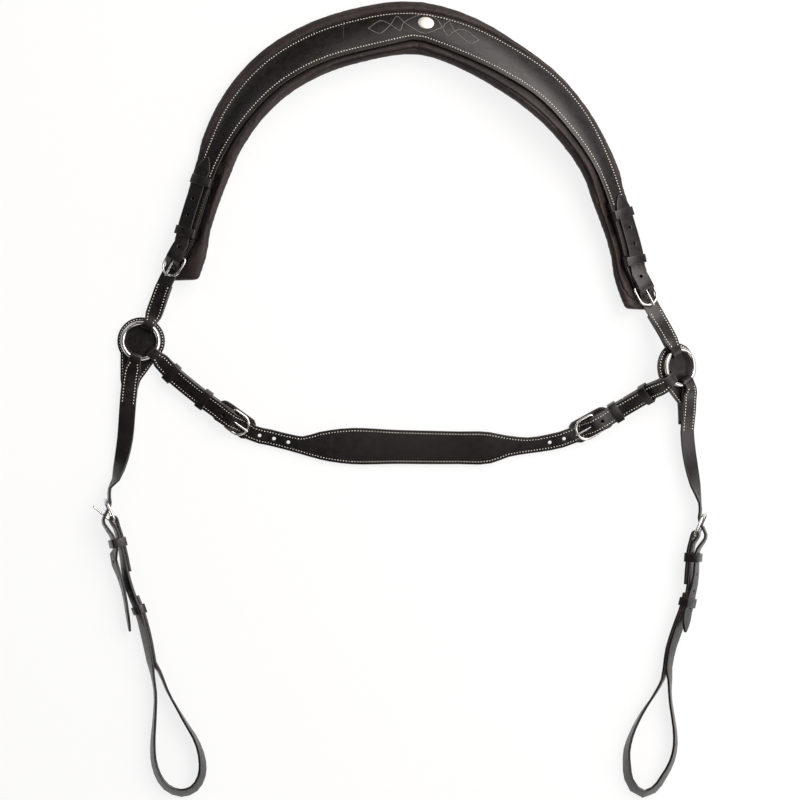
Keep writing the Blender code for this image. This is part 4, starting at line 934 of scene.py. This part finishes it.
def raised(places, crown):
    """The stitch places lifted onto the leather's raised middle."""
    return [(here + np.array((0.0, 0.0, crown.at(here))), direction, normal)
            for here, direction, normal in places]


def picture_point(column, line, tree):
    """Where the camera's ray through a place in the picture meets the surface, with the surface normal."""
    share = SENSOR / CAMERA_LENS / PHOTO_SIDE
    ray = Vector(((column - PHOTO_SIDE / 2) * share, (PHOTO_SIDE / 2 - line) * share, -1.0))
    spot, normal, index, distance = tree.ray_cast(Vector(CAMERA_PLACE), ray.normalized())
    return spot, normal


def rounded_line(points, step):
    """A smooth line through the points, in small steps."""
    points = np.array(points, float)
    padded = np.vstack([2 * points[0] - points[1], points, 2 * points[-1] - points[-2]])
    line = []
    for i in range(1, len(padded) - 2):
        a, b, c, d = padded[i - 1:i + 3]
        count = max(2, int(np.linalg.norm(c - b) / step))
        for j in range(count):
            u = j / count
            line.append(0.5 * (2 * b + (c - a) * u + (2 * a - 5 * b + 4 * c - d) * u * u
                               + (3 * b - a - 3 * c + d) * u ** 3))
    line.append(points[-1])
    return line


class BREASTPLATE_OT_leather(bpy.types.Operator):
    """Dresses the breast leather, straps, guards, lining and safes"""
    bl_idname = "breastplate.leather"
    bl_label = "Leather straps"

    def execute(self, context):
        for node in LEATHER_NODES:
            dressed_leather(node, context.scene.breastplate_sizes.edge_round)
        return {"FINISHED"}


class BREASTPLATE_OT_keepers(bpy.types.Operator):
    """Dresses the fixed keepers and the sliding runners"""
    bl_idname = "breastplate.keepers"
    bl_label = "Keepers and runners"

    def execute(self, context):
        for node in KEEPER_NODES:
            dressed_leather(node, context.scene.breastplate_sizes.keeper_round)
        return {"FINISHED"}


class BREASTPLATE_OT_pad(bpy.types.Operator):
    """Stuffs, seams and creases the breast pad"""
    bl_idname = "breastplate.pad"
    bl_label = "Breast pad"

    def execute(self, context):
        stuffed_pad(context.scene.breastplate_sizes)
        return {"FINISHED"}


class BREASTPLATE_OT_rings(bpy.types.Operator):
    """Makes the two welded rings"""
    bl_idname = "breastplate.rings"
    bl_label = "Rings"

    def execute(self, context):
        for side in SIDES:
            welded_ring(side, context.scene.breastplate_sizes)
        return {"FINISHED"}


class BREASTPLATE_OT_buckles(bpy.types.Operator):
    """Rounds the wire of the buckles and their prongs"""
    bl_idname = "breastplate.buckles"
    bl_label = "Buckles"

    def execute(self, context):
        for node in METAL_NODES:
            fine_metal(node)
        return {"FINISHED"}


class BREASTPLATE_OT_badge(bpy.types.Operator):
    """Smooths the plain oval badge"""
    bl_idname = "breastplate.badge"
    bl_label = "Badge"

    def execute(self, context):
        smooth_badge()
        return {"FINISHED"}


class BREASTPLATE_OT_stitching(bpy.types.Operator):
    """Sews the rows of thread along the straps"""
    bl_idname = "breastplate.stitching"
    bl_label = "Stitching"

    def execute(self, context):
        sizes = context.scene.breastplate_sizes
        length, width, pitch = sizes.stitch_length, sizes.thread_width, sizes.stitch_pitch
        crown = BreastCrown(sizes.crown)

        def sew(node, inset, keep, material="linen_thread_cream", tag="thread", lift=THREAD_LIFT):
            places = rows_on(node, inset, pitch, keep)
            if not places:
                raise RuntimeError(f"no row of stitches found on {node}")
            if node == "breast_strap":
                places = raised(places, crown)
            piece = sewn(f"{node}_{tag}", places, material, length, width, lift=lift)
            place_on_body(piece, node)

        def outer(point, inward):
            """Whether the nearest edge is the arch's outer one: the strap's middle lies towards the neck."""
            return float(np.dot(inward[:2], np.array(ARCH_CENTRE) - point[:2])) > 0

        def off_bars(point):
            """Distance to the nearer bar of the breast buckles."""
            return min(math.dist(point[:2], bar) for bar in BREAST_BARS)

        # Each test gets a place p, the surface's normal n there and the direction d away from the edge.
        sew("breast_strap", 3.3 * MM,
            lambda p, n, d: n[2] > FACING and outer(p, d) and off_bars(p) >= 104 * MM)
        sew("breast_strap", 4.9 * MM,
            lambda p, n, d: n[2] > FACING and not outer(p, d) and off_bars(p) >= 95 * MM, tag="inner_thread")
        sew("breast_strap", 2.0 * MM, lambda p, n, d: n[2] > FACING and off_bars(p) < 92 * MM,
            material="linen_thread_dark", tag="dark_thread")
        sew("wither_strap", 3.2 * MM, lambda p, n, d: abs(n[2]) > FACING, lift=SUNK_THREAD_LIFT)
        sew("wither_lining", 2.4 * MM, lambda p, n, d: n[2] < -FACING)
        for side in SIDES:
            def off_ring(point, ring=RING_CENTRES[side][0]):
                return math.dist(point[:2], ring[:2])

            sew(f"connector_strap_{side}", 3.0 * MM, lambda p, n, d: 24 * MM < off_ring(p) < 70 * MM)
            sew(f"girth_strap_{side}", 3.0 * MM, lambda p, n, d: 26 * MM < off_ring(p) < 74 * MM)
            sew(f"ring_guard_{side}", 2.4 * MM, lambda p, n, d: True)
            sew(f"wither_chape_{side}", 3.6 * MM, lambda p, n, d: off_ring(p) > 26 * MM)
            sew(f"wither_safe_{side}", 1.8 * MM, lambda p, n, d: True, material="linen_thread_dark")
        self.sew_fancy_stitch(width, crown)
        return {"FINISHED"}

    def sew_fancy_stitch(self, width, crown):
        """The ornamental stitch of two crossing strands around the badge."""
        tree = skin(["breast_strap"])
        pitch, length = 2.6 * MM, 2.3 * MM
        places = []
        for strand in FANCY_STRANDS:
            run = []
            for column, line in rounded_line(strand, 0.5):
                spot, normal = picture_point(column, line, tree)
                if spot is not None:
                    run.append((np.array(spot), np.array(normal)))
            places += spaced(run, pitch)
        # The ornament is sewn with finer thread than the rows.
        piece = sewn("breast_strap_fancy_thread", raised(places, crown), "linen_thread_grey", length,
                     width * 0.62, slant=0.0)
        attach(piece, "breast")


class BREASTPLATE_OT_stage(bpy.types.Operator):
    """Sets up the pale floor, the soft lights and the camera above"""
    bl_idname = "breastplate.stage"
    bl_label = "Stage"

    def execute(self, context):
        scene = context.scene
        deselect()
        bpy.ops.mesh.primitive_plane_add(size=8.0, location=(0.0, 0.0, CAD_BOX[0][2] - 0.5 * MM))
        floor = context.active_object
        floor.name = "studio_floor"
        bpy.ops.object.transform_apply(location=True, rotation=True, scale=True)
        floor.data.materials.append(self.floor_finish())
        self.world(scene)
        # Broad key light beyond the arch at the top right, a panel over the right half that the straps there
        # mirror, a weaker one beyond the left half, and low panels at the sides and in front for the edges.
        self.lamp("key_light", (1.5, 1.9, 2.2), 2.4, 104.0, (1.0, 0.93, 0.90))
        self.lamp("top_panel", (0.95, 0.1, 1.5), 1.4, 18.0, (1.0, 0.95, 0.93))
        self.lamp("left_top_panel", (-1.6, 1.4, 2.2), 1.2, 7.0)
        self.lamp("right_panel", (2.4, -0.7, 0.8), 1.2, 14.0)
        self.lamp("left_panel", (-2.4, -0.8, 0.5), 0.8, 3.0)
        self.lamp("low_panel", (0.2, -2.5, 1.0), 1.4, 8.0)
        camera_data = bpy.data.cameras.new("photo_camera")
        camera_data.lens = CAMERA_LENS
        camera_data.sensor_width = SENSOR
        camera_data.clip_start = 0.05
        scene.camera = in_scene("photo_camera", camera_data)
        scene.camera.location = CAMERA_PLACE
        scene.view_settings.view_transform = "Standard"
        return {"FINISHED"}

    def lamp(self, name, place, size, power, colour=(1.0, 0.96, 0.94)):
        """A square lamp of that size and power that faces the middle of the object."""
        data = bpy.data.lights.new(name, "AREA")
        data.shape = "SQUARE"
        data.size = size
        data.energy = power
        data.color = colour
        lamp = in_scene(name, data)
        lamp.location = place
        lamp.rotation_euler = (-Vector(place)).to_track_quat("-Z", "Y").to_euler()

    def floor_finish(self):
        """Matt white paper: it shows white to the camera and in reflections, and keeps part of the shadow."""
        material, tree, place = new_material("studio_paper_white")
        grain = add(tree, "TexNoise", {"Vector": place, "Scale": 1 / 0.02, "Detail": 2.0})
        tone = add(tree, "MapRange", {"Value": grain, "To Min": 0.90, "To Max": 0.94})
        diffuse = add(tree, "BsdfDiffuse", {"Color": tone})
        glow = add(tree, "Emission", {"Color": (1.0, 1.0, 1.0, 1.0), "Strength": 1.0})
        path = add(tree, "LightPath")
        seen = add(tree, "Math", {
            0: path.outputs["Is Camera Ray"], 1: path.outputs["Is Glossy Ray"]}, operation="MAXIMUM")
        through = add(tree, "Math", {0: seen, 1: path.outputs["Is Transmission Ray"]}, operation="MAXIMUM")
        share = add(tree, "Math", {0: through, 1: 0.82}, operation="MULTIPLY")
        return finished(material, "MixShader", {0: share, 1: diffuse, 2: glow})

    def world(self, scene):
        """Weak light from all around, and white behind everything for the camera."""
        world = bpy.data.worlds.new("studio_world")
        world.use_nodes = True
        tree = world.node_tree
        tree.nodes.clear()
        path = add(tree, "LightPath")
        room = add(tree, "Background", {"Color": (1.0, 1.0, 1.0, 1.0), "Strength": 0.10})
        seen = add(tree, "Background", {"Color": (1.0, 1.0, 1.0, 1.0), "Strength": 1.0})
        mixed = add(tree, "MixShader", {0: path.outputs["Is Camera Ray"], 1: room, 2: seen})
        add(tree, "OutputWorld", {"Surface": mixed})
        scene.world = world


class BREASTPLATE_PT_panel(bpy.types.Panel):
    """Lists the breastplate's pieces, sizes and colours"""
    bl_idname = "BREASTPLATE_PT_panel"
    bl_label = "Breastplate"
    bl_space_type = "VIEW_3D"
    bl_region_type = "UI"
    bl_category = "Breastplate"

    def draw(self, context):
        layout = self.layout
        for operator in OPERATORS:
            layout.operator(operator.bl_idname)
        for group in (context.scene.breastplate_sizes, context.scene.breastplate_colours):
            box = layout.box()
            for key in group.bl_rna.properties.keys():
                if key not in ("rna_type", "name"):
                    box.prop(group, key)


OPERATORS = (
    BREASTPLATE_OT_leather,
    BREASTPLATE_OT_keepers,
    BREASTPLATE_OT_pad,
    BREASTPLATE_OT_rings,
    BREASTPLATE_OT_buckles,
    BREASTPLATE_OT_badge,
    BREASTPLATE_OT_stitching,
    BREASTPLATE_OT_stage,
)
CLASSES = (BreastplateSizes, BreastplateColours) + OPERATORS + (BREASTPLATE_PT_panel,)


def register():
    for cls in CLASSES:
        bpy.utils.register_class(cls)
    bpy.types.Scene.breastplate_sizes = bpy.props.PointerProperty(type=BreastplateSizes)
    bpy.types.Scene.breastplate_colours = bpy.props.PointerProperty(type=BreastplateColours)


def unregister():
    del bpy.types.Scene.breastplate_sizes
    del bpy.types.Scene.breastplate_colours
    for cls in reversed(CLASSES):
        bpy.utils.unregister_class(cls)


def main():
    register()
    bpy.ops.breastplate.leather()
    bpy.ops.breastplate.keepers()
    bpy.ops.breastplate.pad()
    bpy.ops.breastplate.rings()
    bpy.ops.breastplate.buckles()
    bpy.ops.breastplate.badge()
    bpy.ops.breastplate.stitching()
    bpy.ops.breastplate.stage()


if __name__ == "__main__":
    main()
